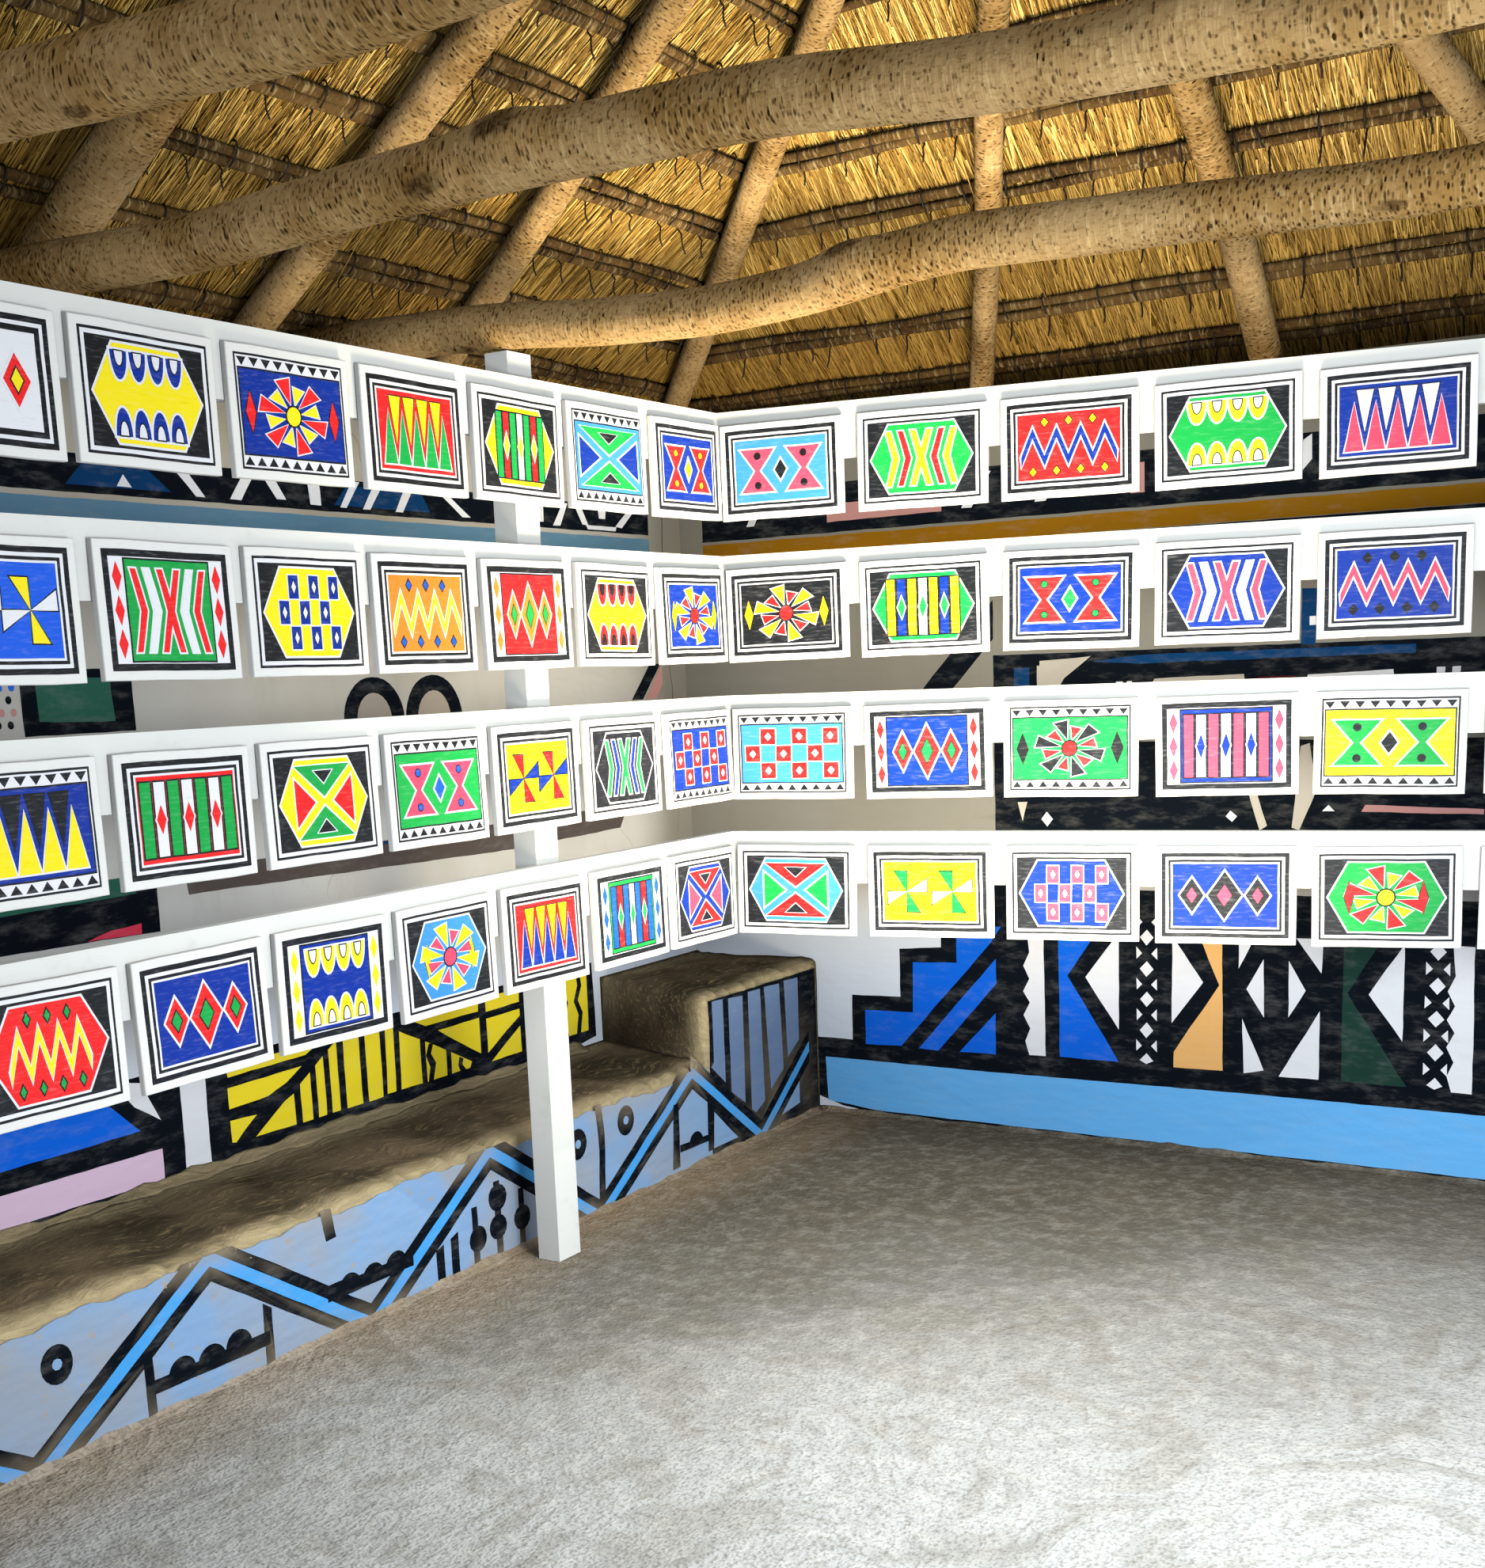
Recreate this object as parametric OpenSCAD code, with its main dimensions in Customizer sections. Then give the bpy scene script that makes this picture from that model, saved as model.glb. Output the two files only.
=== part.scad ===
// Thatched mud hut with a hipped pole roof, a mud bench and a white picture rack.
// Millimetres, Z up. The origin is on the ground under the middle of the plan.
// X runs along the ridge, the doorway is in the front wall at -Y.

/* [Room] */
// Inside length, along the ridge
room_l = 6600; // [6200:50:7400]
// Inside width, across the ridge
room_w = 4400; // [4200:50:5000]
// Thickness of the mud walls
wall_t = 250; // [200:10:320]
// Height of the wall top above the floor, at the inside face
wall_h = 2560; // [2530:10:2800]
// Thickness of the floor, from the ground up
floor_t = 100; // [60:10:160]
// Radius of the outside corners of the walls
corner_r = 90; // [40:10:140]

/* [Doorway] */
// Width of the doorway
door_w = 1100; // [800:50:1300]
// Height of the doorway above the floor
door_h = 2000; // [1800:20:2100]
// Height of the lintel board
lintel_h = 70; // [50:5:90]
// Bearing of the lintel on each side of the doorway
lintel_bearing = 220; // [120:10:300]

/* [Bench] */
// Height of the bench above the floor
bench_h = 355; // [300:5:420]
// Depth of the bench, from the wall to its front
bench_d = 540; // [480:10:580]
// Height of the raised end block above the floor
block_h = 590; // [500:10:700]
// Length of the raised end block
block_l = 790; // [600:10:850]

/* [Roof frame] */
// Rise of the rafters from the wall to the ridge
roof_rise = 1480; // [1300:10:1700]
// Plan distance from an end wall to the end of the ridge
hip_run = 1870; // [1700:10:2100]
// Diameter of the rafters
rafter_d = 100; // [80:5:110]
// Diameter of the ridge pole
ridge_d = 110; // [90:5:130]
// Length of the rafter tails past the inside of the wall
tail_run = 520; // [480:10:560]
// Foot of the two middle rafters on the long walls
mid_rafter_x = 460; // [440:10:520]
// Foot of the rafter past the middle, on the long walls
far_rafter_x = -300; // [-340:10:-240]
// Foot of the outer straight rafters on the long walls
outer_rafter_x = 1180; // [1100:10:1260]
// Foot of the fan rafters on the long walls, from the corner
fan_corner_run = 1320; // [1200:10:1400]
// Foot of the side rafters on the end walls, from the middle
fan_end_y = 950; // [800:10:1100]
// Diameter of the roof laths
lath_d = 34; // [26:2:40]
// Distance between lath rows, up the slope
lath_pitch = 230; // [200:5:280]
// Distance between the two laths of a row
lath_pair = 44; // [42:1:60]

/* [Tie poles] */
// Diameter of the tie poles
tie_d = 120; // [100:5:130]
// Place along the room of the tie pole next to the middle
tie_mid_x = 300; // [260:5:320]
// Place along the room of the tie pole past the middle
tie_far_x = -570; // [-620:5:-520]
// Length of a tie pole that lies on the wall
tie_bearing = 60; // [40:5:70]

/* [Thatch] */
// Thickness of the thatch on the long sides
thatch_t = 180; // [140:5:240]
// Overhang of the thatch past the outside of the long walls
eave = 450; // [400:10:600]
// Width of the ridge cap on each side, down the slope
cap_w = 340; // [250:10:450]
// Thickness of the ridge cap
cap_t = 60; // [40:5:90]

/* [Picture rack] */
// Height of the top of the highest rail above the floor
rack_top = 2465; // [2420:5:2500]
// Distance from one rail to the next
rail_pitch = 435; // [400:5:450]
// Height of a rail
rail_h = 165; // [140:5:200]
// Thickness of a rail
rail_t = 32; // [24:2:40]
// Distance of the rack front from the back wall
rack_back_gap = 760; // [740:10:840]
// Distance of the rack corner from the end wall
rack_end_gap = 905; // [890:5:1000]
// Turn of the end rack away from square
rack_turn = 9.8; // [6:0.2:12]
// Drop of the rack posts' tops below the wall top
post_drop = 25; // [25:5:50]
// Width of a rack post
post_w = 100; // [80:5:120]
// Depth of a rack post
post_d = 76; // [60:4:80]
// First post of the back rack, from the rack corner
post_first = 925; // [850:5:1000]
// Distance to the second post of the back rack
post_span = 2210; // [2000:10:2400]
// Post of the end rack, from the rack corner
post_end = 2720; // [2600:10:2800]

/* [Painted panels] */
// Width of a panel on the back rack
panel_w = 368; // [340:2:372]
// Distance from one panel to the next on the back rack
panel_pitch = 404; // [400:1:420]
// Number of panels in a row of the back rack
panel_count = 10; // [8:1:10]
// Width of a panel on the end rack
end_panel_w = 402; // [360:2:408]
// Distance from one panel to the next on the end rack
end_panel_pitch = 445; // [440:1:450]
// Number of panels in a row of the end rack
end_panel_count = 7; // [6:1:7]
// Height of a panel
panel_h = 288; // [260:2:320]
// Thickness of a panel
panel_t = 20; // [12:2:26]
// Drop of the panel top below the rail top
panel_drop = 40; // [20:5:60]
// Gap between the two racks' panels at the corner
panel_corner_gap = 2; // [1:1:6]

/* [Hidden] */
$fn = 48;

half_l = room_l / 2;
half_w = room_w / 2;
far = 12000;

// Roof planes. A surface lies a distance off above the rafters' axes, square to the slope.
side_slope = roof_rise / half_w;
end_slope = roof_rise / hip_run;
side_angle = atan(side_slope);
end_angle = atan(end_slope);
ridge_half = half_l - hip_run;
rafter_r = rafter_d / 2;
axis_z = floor_t + wall_h + rafter_r / cos(side_angle);
function side_z(y, off = 0) = axis_z + side_slope * (half_w - abs(y)) + off / cos(side_angle);
function end_z(x, off = 0) = axis_z + end_slope * (half_l - abs(x)) + off / cos(end_angle);

// The hip poles touch the laths above and the wall corners below.
hip_half_angle = acos(cos(side_angle) * cos(end_angle)) / 2;
hip_r = rafter_d / (1 + cos(hip_half_angle));
hip_off = rafter_r - hip_r;
function hip_x(y) =
    half_l - (side_z(y, hip_off) - end_z(half_l, hip_off)) / end_slope;

lath_off = rafter_r + lath_d / 2;
thatch_off = rafter_r + lath_d;
thatch_top = thatch_off + thatch_t;
end_thatch_top = thatch_top * cos(end_angle) / cos(side_angle);
eave_run = wall_t + eave;
end_eave_run = eave_run * hip_run / half_w;
slope_len = (half_w + eave_run) / cos(side_angle);
end_slope_len = (hip_run + end_eave_run) / cos(end_angle);

tie_r = tie_d / 2;
tie_z = floor_t + wall_h + tie_r;
rack_x = half_l - rack_end_gap;
rack_y = half_w - rack_back_gap;
rack_l = panel_count * panel_pitch;
end_rack_l = end_panel_count * end_panel_pitch;
mitre = (90 - rack_turn) / 2;
mitre_x = rail_t * tan(mitre);
rail_rows = [0 : 3];

// Clearances between pieces that meet at the ridge and the hips
ridge_gap = 1;
fan_gap = 0.5;
lath_hip_gap = 6;

// A straight round pole from p to q
module pole(p, q, d) {
    v = q - p;
    translate(p)
        rotate([0, acos(v.z / norm(v)), atan2(v.y, v.x)])
            cylinder(d = d, h = norm(v));
}

// Copies its children to both sides of the plane y = 0
module both_sides() {
    children();
    mirror([0, 1, 0]) children();
}

// Plan of the back slope, moved out by a gap
module side_zone(gap = 0) {
    reach = far / half_w;
    translate([0, gap, -far / 2])
        linear_extrude(2 * far)
            polygon([
                [-ridge_half, 0],
                [ridge_half, 0],
                [ridge_half + reach * hip_run, far],
                [-ridge_half - reach * hip_run, far]
            ]);
}

// Plan of the east slope, moved out by a gap
module end_zone(gap = 0) {
    reach = far / half_w;
    translate([gap, 0, -far / 2])
        linear_extrude(2 * far)
            polygon([
                [ridge_half, 0],
                [ridge_half + reach * hip_run, -far],
                [ridge_half + reach * hip_run, far]
            ]);
}

// Everything under the four slopes, at a distance from the rafters' axes
module under_roof(off) {
    low = -half_l;
    intersection() {
        rotate([90, 0, 90])
            linear_extrude(2 * far, center = true)
                polygon([
                    [-far / 2, low], [-far / 2, side_z(far / 2, off)],
                    [0, side_z(0, off)],
                    [far / 2, side_z(far / 2, off)], [far / 2, low]
                ]);
        rotate([90, 0, 0])
            linear_extrude(2 * far, center = true)
                polygon([
                    [-far / 2, low], [-far / 2, end_z(far / 2, off)],
                    [0, end_z(0, off)],
                    [far / 2, end_z(far / 2, off)], [far / 2, low]
                ]);
    }
}

// Outline of the walls with rounded outside corners
module wall_outline() {
    offset_l = half_l + wall_t - corner_r;
    offset_w = half_w + wall_t - corner_r;
    union() {
        square([2 * offset_l, 2 * (offset_w + corner_r)], center = true);
        square([2 * (offset_l + corner_r), 2 * offset_w], center = true);
        for (sx = [-1, 1], sy = [-1, 1])
            translate([sx * offset_l, sy * offset_w]) circle(corner_r);
    }
}

// A piece of wall over a plan rectangle, cut to the slopes at its top
module wall_piece(x0, x1, y0, y1, z0 = 0) {
    intersection() {
        translate([0, 0, z0]) linear_extrude(far / 2) wall_outline();
        translate([x0, y0, z0]) cube([x1 - x0, y1 - y0, far / 2]);
        under_roof(-rafter_r);
    }
}

module floor() {
    color("#8d8478")
        linear_extrude(floor_t)
            polygon([
                [-half_l, -half_w], [-door_w / 2, -half_w],
                [-door_w / 2, -half_w - wall_t], [door_w / 2, -half_w - wall_t],
                [door_w / 2, -half_w], [half_l, -half_w], [half_l, half_w], [-half_l, half_w]
            ]);
}

module back_wall() {
    color("#cfcabd") wall_piece(-far, far, half_w, far);
}

module east_wall() {
    color("#cfcabd") wall_piece(half_l, far, -half_w, half_w);
}

module west_wall() {
    color("#cfcabd") wall_piece(-far, -half_l, -half_w, half_w);
}

module front_wall_west() {
    color("#cfcabd")
        difference() {
            wall_piece(-far, -door_w / 2, -far, -half_w);
            lintel_space();
        }
}

module front_wall_east() {
    color("#cfcabd")
        difference() {
            wall_piece(door_w / 2, far, -far, -half_w);
            lintel_space();
        }
}

module front_wall_over_door() {
    color("#cfcabd")
        difference() {
            wall_piece(-door_w / 2, door_w / 2, -far, -half_w, floor_t + door_h);
            lintel_space();
        }
}

module lintel_space() {
    translate([-door_w / 2 - lintel_bearing, -half_w - wall_t, floor_t + door_h])
        cube([door_w + 2 * lintel_bearing, wall_t, lintel_h]);
}

module door_lintel() {
    color("#7a664a") lintel_space();
}

module bench() {
    color("#7d6f5c")
        translate([-half_l, half_w - bench_d, floor_t])
            cube([room_l - block_l, bench_d, bench_h]);
}

module bench_end_block() {
    color("#75675a")
        translate([half_l - block_l, half_w - bench_d, floor_t])
            cube([block_l, bench_d, block_h]);
}

// Smooth curve through hand-picked points, three steps from one to the next
function blend(a, b, c, d, t) =
    ((2 * b) + (c - a) * t + (2 * a - 5 * b + 4 * c - d) * t * t
        + (3 * b - a - 3 * c + d) * t * t * t) / 2;
function smooth(p, steps = 3) = [
    for (i = [0 : len(p) - 2], k = [0 : steps - 1])
        blend(p[max(i - 1, 0)], p[i], p[i + 1], p[min(i + 2, len(p) - 1)], k / steps),
    p[len(p) - 1]
];

// A crooked pole across the room. A bend is [share of the span, drift along x, lift].
module bent_pole(x, bends) {
    sides = 12;
    reach = half_w + tie_bearing;
    path = smooth(bends);
    rings = [
        for (b = path, a = [0 : sides - 1])
            [
                x + b.y + tie_r * cos(360 * a / sides),
                reach * (1 - 2 * b.x),
                tie_z + b.z + tie_r * sin(360 * a / sides)
            ]
    ];
    last = (len(path) - 1) * sides;
    polyhedron(
        points = rings,
        faces = concat(
            [[for (a = [0 : sides - 1]) sides - 1 - a]],
            [[for (a = [0 : sides - 1]) last + a]],
            [
                for (i = [0 : len(path) - 2], a = [0 : sides - 1])
                    let (b = (a + 1) % sides, n = i * sides)
                    [n + a, n + b, n + sides + b, n + sides + a]
            ]
        ),
        convexity = 6
    );
}

// Ends that lie on the wall stay level, so that a pole seats there
bends_1 = [
    [0, 0, 0], [0.06, 0, 0], [0.16, 0, -15], [0.24, 5, -50], [0.31, 10, -70], [0.38, 0, -55],
    [0.46, -10, -10], [0.54, 0, -25], [0.66, 5, -50], [0.8, 0, -60], [0.94, 0, 0], [1, 0, 0]
];
bends_2 = [
    [0, 0, 0], [0.06, 0, 0], [0.2, 0, -25], [0.3, -5, 0], [0.36, 5, 5], [0.5, 10, 0],
    [0.6, 0, -45], [0.72, -10, -70], [0.84, 0, -60], [0.94, 0, 0], [1, 0, 0]
];
bends_3 = [
    [0, 0, 0], [0.06, 0, 0], [0.25, 10, -30], [0.45, 30, -60], [0.65, 10, -40],
    [0.85, 0, -20], [0.94, 0, 0], [1, 0, 0]
];
bends_4 = [
    [0, 0, 0], [0.06, 0, 0], [0.3, -20, -45], [0.5, 0, -20], [0.7, 20, -50], [0.94, 0, 0],
    [1, 0, 0]
];

module tie_pole_1() {
    color("#a18a68") bent_pole(ridge_half, bends_1);
}

module tie_pole_2() {
    color("#a18a68") bent_pole(tie_mid_x, bends_2);
}

module tie_pole_3() {
    color("#a18a68") bent_pole(tie_far_x, bends_3);
}

module tie_pole_4() {
    color("#a18a68") bent_pole(-ridge_half, bends_4);
}

module ridge_pole() {
    z = side_z(0) - (ridge_d / 2 + rafter_r) / cos(side_angle);
    color("#9a8463")
        pole([-ridge_half + rafter_d, 0, z], [ridge_half - rafter_d, 0, z], ridge_d);
}

// Plan bearings of the rafters that fan out from the east end of the ridge
fan_long = atan2(half_w, hip_run - fan_corner_run);
fan_hip = atan2(half_w, hip_run);
fan_end = atan2(fan_end_y, hip_run);

// The part of the fan between two bearings, seen from the end of the ridge
module fan_zone(a0, a1) {
    translate([ridge_half, 0, -far / 2])
        linear_extrude(2 * far)
            polygon([
                [0, 0],
                far * [cos(a0), sin(a0)],
                far * [cos((a0 + a1) / 2), sin((a0 + a1) / 2)],
                far * [cos(a1), sin(a1)]
            ]);
}

// Tail end and head of a rafter on the back slope, from its foot and head along x
module side_rafter(foot_x, head_x) {
    tail_y = half_w + tail_run;
    tail_x = foot_x + (foot_x - head_x) * tail_run / half_w;
    pole([tail_x, tail_y, side_z(tail_y)], [head_x, 0, side_z(0)], rafter_d);
}

// A rafter on the east slope, from its foot along y
module end_rafter(foot_y) {
    tail_x = half_l + tail_run * hip_run / half_w;
    tail_y = foot_y * (tail_x - ridge_half) / hip_run;
    pole([tail_x, tail_y, end_z(tail_x)], [ridge_half, 0, end_z(ridge_half)], rafter_d);
}

// Straight and fan rafters of one long side
module side_rafters() {
    intersection() {
        translate([-far / 2, ridge_gap, 0]) cube([far, far / 2, far / 2]);
        for (x = [outer_rafter_x, mid_rafter_x, far_rafter_x, -outer_rafter_x])
            side_rafter(x, x);
    }
    for (m = [0, 1])
        mirror([m, 0, 0])
            intersection() {
                fan_zone((fan_long + fan_hip) / 2 + fan_gap, 90);
                side_rafter(half_l - fan_corner_run, ridge_half);
            }
}

module rafters_back() {
    color("#9c8562") side_rafters();
}

module rafters_front() {
    color("#9c8562") mirror([0, 1, 0]) side_rafters();
}

// Three rafters of the east slope
module end_rafters() {
    intersection() {
        fan_zone(-fan_end / 2 + fan_gap, fan_end / 2 - fan_gap);
        end_rafter(0);
    }
    both_sides()
        intersection() {
            fan_zone(fan_end / 2 + fan_gap, (fan_end + fan_hip) / 2 - fan_gap);
            end_rafter(fan_end_y);
        }
}

module rafters_east() {
    color("#9c8562") end_rafters();
}

module rafters_west() {
    color("#9c8562") mirror([1, 0, 0]) end_rafters();
}

// One hip pole, from the tail outside the corner to the end of the ridge
module hip_rafter() {
    tail_y = half_w + tail_run;
    intersection() {
        fan_zone((fan_end + fan_hip) / 2 + fan_gap, (fan_long + fan_hip) / 2 - fan_gap);
        pole(
            [hip_x(tail_y), tail_y, side_z(tail_y, hip_off)],
            [hip_x(0), 0, side_z(0, hip_off)],
            2 * hip_r
        );
    }
}

module hip_rafters() {
    color("#9c8562")
        both_sides()
            for (m = [0, 1])
                mirror([m, 0, 0]) hip_rafter();
}

// Pairs of laths on a long side, one row above the other
module side_laths() {
    first = lath_pitch / 3;
    intersection() {
        side_zone(lath_hip_gap);
        for (s = [first : lath_pitch : slope_len - thatch_t - 2 * lath_d], k = [-0.5, 0.5]) {
            run = (s + k * lath_pair) * cos(side_angle);
            translate([0, run, side_z(run, lath_off)])
                rotate([0, 90, 0])
                    cylinder(d = lath_d, h = room_l * 2, center = true);
        }
    }
}

module laths_back() {
    color("#8a7352") side_laths();
}

module laths_front() {
    color("#8a7352") mirror([0, 1, 0]) side_laths();
}

// Pairs of laths on the east slope
module end_laths() {
    first = lath_pitch / 2;
    intersection() {
        end_zone(lath_hip_gap);
        for (s = [first : lath_pitch : end_slope_len - thatch_t - 2 * lath_d], k = [-0.5, 0.5]) {
            run = ridge_half + (s + k * lath_pair) * cos(end_angle);
            translate([run, 0, end_z(run, lath_off)])
                rotate([90, 0, 0])
                    cylinder(d = lath_d, h = room_w * 2, center = true);
        }
    }
}

module laths_east() {
    color("#8a7352") end_laths();
}

module laths_west() {
    color("#8a7352") mirror([1, 0, 0]) end_laths();
}

// A layer of thatch on the back slope, cut square at the eave
module side_thatch() {
    out = half_w + eave_run;
    inner = out - thatch_t * sin(side_angle);
    intersection() {
        side_zone();
        rotate([90, 0, 90])
            linear_extrude(2 * far, center = true)
                polygon([
                    [0, side_z(0, thatch_off)], [0, side_z(0, thatch_top)],
                    [out, side_z(out, thatch_top)], [inner, side_z(inner, thatch_off)]
                ]);
    }
}

module thatch_back() {
    color("#8f7440") side_thatch();
}

module thatch_front() {
    color("#8f7440") mirror([0, 1, 0]) side_thatch();
}

// A layer of thatch on the east slope, its top level with the side thatch at the hips
module end_thatch() {
    out = half_l + end_eave_run;
    inner = out - (end_thatch_top - thatch_off) * sin(end_angle);
    intersection() {
        end_zone();
        rotate([90, 0, 0])
            linear_extrude(2 * far, center = true)
                polygon([
                    [ridge_half, end_z(ridge_half, thatch_off)],
                    [ridge_half, end_z(ridge_half, end_thatch_top)],
                    [out, end_z(out, end_thatch_top)], [inner, end_z(inner, thatch_off)]
                ]);
    }
}

module thatch_east() {
    color("#8f7440") end_thatch();
}

module thatch_west() {
    color("#8f7440") mirror([1, 0, 0]) end_thatch();
}

// A bent mat of grass over the ridge
module ridge_cap() {
    side = cap_w * cos(side_angle);
    color("#7d6538")
        rotate([90, 0, 90])
            linear_extrude(2 * ridge_half + cap_w, center = true)
                polygon([
                    [0, side_z(0, thatch_top)], [side, side_z(side, thatch_top)],
                    [side, side_z(side, thatch_top + cap_t)],
                    [cap_t, side_z(cap_t, thatch_top + cap_t)],
                    [-cap_t, side_z(cap_t, thatch_top + cap_t)],
                    [-side, side_z(side, thatch_top + cap_t)],
                    [-side, side_z(side, thatch_top)]
                ]);
}

// Moves its children to the rack corner; along -X runs the back rack
module at_rack() {
    translate([rack_x, rack_y, 0]) children();
}

// The end rack's own frame: its +X runs from the corner towards the front wall
module at_end_rack() {
    at_rack() rotate(rack_turn - 90) children();
}

function rail_top(i) = floor_t + rack_top - i * rail_pitch;

// A post behind the rails, up to just under the tie poles
module rack_post(along) {
    translate([along - post_w / 2, rail_t, floor_t])
        cube([post_w, post_d, wall_h - post_drop]);
}

module rack_post_1() {
    color("#e9e8e2") at_rack() rack_post(-post_first);
}

module rack_post_2() {
    color("#e9e8e2") at_rack() rack_post(-post_first - post_span);
}

module rack_post_3() {
    color("#e9e8e2") at_end_rack() rack_post(post_end);
}

// Rails of the back rack, mitred at the corner
module rack_rails_back() {
    color("#eeede8")
        at_rack()
            for (i = rail_rows)
                translate([0, 0, rail_top(i) - rail_h])
                    linear_extrude(rail_h)
                        polygon([[-rack_l, 0], [0, 0], [mitre_x, rail_t], [-rack_l, rail_t]]);
}

module rack_rails_end() {
    color("#eeede8")
        at_end_rack()
            for (i = rail_rows)
                translate([0, 0, rail_top(i) - rail_h])
                    linear_extrude(rail_h)
                        polygon([[0, 0], [end_rack_l, 0], [end_rack_l, rail_t], [-mitre_x, rail_t]]);
}

// A row of boards hung on the front of a rail, from the rack corner outwards
module panel_row(i, pitch, width, count) {
    first = panel_t * tan(mitre) + panel_corner_gap / 2;
    for (k = [0 : count - 1])
        translate([first + k * pitch, -panel_t, rail_top(i) - panel_drop - panel_h])
            cube([width, panel_t, panel_h]);
}

module back_panels(i) {
    color("#f2f1ec")
        at_rack()
            mirror([1, 0, 0]) panel_row(i, panel_pitch, panel_w, panel_count);
}

module end_panels(i) {
    color("#f2f1ec")
        at_end_rack() panel_row(i, end_panel_pitch, end_panel_w, end_panel_count);
}

module panels_back_1() {
    back_panels(0);
}

module panels_back_2() {
    back_panels(1);
}

module panels_back_3() {
    back_panels(2);
}

module panels_back_4() {
    back_panels(3);
}

module panels_end_1() {
    end_panels(0);
}

module panels_end_2() {
    end_panels(1);
}

module panels_end_3() {
    end_panels(2);
}

module panels_end_4() {
    end_panels(3);
}

floor();
back_wall();
east_wall();
west_wall();
front_wall_west();
front_wall_east();
front_wall_over_door();
door_lintel();
bench();
bench_end_block();
tie_pole_1();
tie_pole_2();
tie_pole_3();
tie_pole_4();
ridge_pole();
hip_rafters();
rafters_back();
rafters_front();
rafters_east();
rafters_west();
laths_back();
laths_front();
laths_east();
laths_west();
thatch_back();
thatch_front();
thatch_east();
thatch_west();
ridge_cap();
rack_post_1();
rack_post_2();
rack_post_3();
rack_rails_back();
rack_rails_end();
panels_back_1();
panels_back_2();
panels_back_3();
panels_back_4();
panels_end_1();
panels_end_2();
panels_end_3();
panels_end_4();
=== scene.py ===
"""Looks of a thatched mud hut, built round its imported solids: straw, bark, ties, painted walls,
a painted bench, a white rack and painted panels. Everything is in metres in the hut's own frame:
X along the ridge, the doorway in the wall at -Y, Z up from the ground."""

import math

import bpy
import numpy as np
from mathutils import Matrix, Vector


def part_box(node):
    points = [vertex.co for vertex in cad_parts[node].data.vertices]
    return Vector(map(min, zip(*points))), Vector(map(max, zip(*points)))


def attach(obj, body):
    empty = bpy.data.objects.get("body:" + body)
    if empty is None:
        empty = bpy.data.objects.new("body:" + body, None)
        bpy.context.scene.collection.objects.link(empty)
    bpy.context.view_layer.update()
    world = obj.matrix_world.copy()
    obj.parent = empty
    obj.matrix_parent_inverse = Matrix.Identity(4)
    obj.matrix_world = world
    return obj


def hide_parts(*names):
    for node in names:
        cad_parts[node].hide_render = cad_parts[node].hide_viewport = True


bl_info = {
    "name": "Thatched mud hut",
    "version": (1, 0, 0),
    "blender": (4, 5, 0),
    "location": "View3D > Sidebar > Hut",
    "description": "Dresses the solids of a thatched mud hut with straw, bark, paint and plaster",
    "category": "Object",
}

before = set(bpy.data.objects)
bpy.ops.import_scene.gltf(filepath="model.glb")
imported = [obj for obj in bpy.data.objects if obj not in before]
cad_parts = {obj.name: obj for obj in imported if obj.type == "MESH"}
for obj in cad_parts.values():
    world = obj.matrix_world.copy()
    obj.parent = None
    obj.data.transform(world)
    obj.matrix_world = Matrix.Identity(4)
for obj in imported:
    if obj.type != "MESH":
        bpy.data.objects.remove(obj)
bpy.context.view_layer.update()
BODY = "root"
UP = np.array([0.0, 0.0, 1.0])


# Colours and shader maths


def rgb(hex_code):
    """A colour written as six hex digits, as linear red, green, blue and one."""
    parts = [int(hex_code[i : i + 2], 16) / 255 for i in (0, 2, 4)]
    return [p / 12.92 if p <= 0.04045 else ((p + 0.055) / 1.055) ** 2.4 for p in parts] + [1.0]


class Wire:
    """The output of a shader node. Sums, differences, products and a comparison of wires add
    Math nodes."""

    def __init__(self, look, socket):
        self.look = look
        self.socket = socket

    def maths(self, operation, *terms):
        return self.look.node("ShaderNodeMath", {"operation": operation}, dict(enumerate(terms)))

    def __add__(self, other):
        return self.maths("ADD", self, other)

    def __sub__(self, other):
        return self.maths("SUBTRACT", self, other)

    def __rsub__(self, other):
        return self.maths("SUBTRACT", other, self)

    def __mul__(self, other):
        return self.maths("MULTIPLY", self, other)

    def __gt__(self, other):
        return self.maths("GREATER_THAN", self, other)

    def step(self, low, high):
        """0 below low and 1 above high, with a smooth rise between them."""
        return self.look.node(
            "ShaderNodeMapRange",
            {"interpolation_type": "SMOOTHSTEP"},
            {0: self, 1: low, 2: high, 3: 0.0, 4: 1.0},
        )


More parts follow.
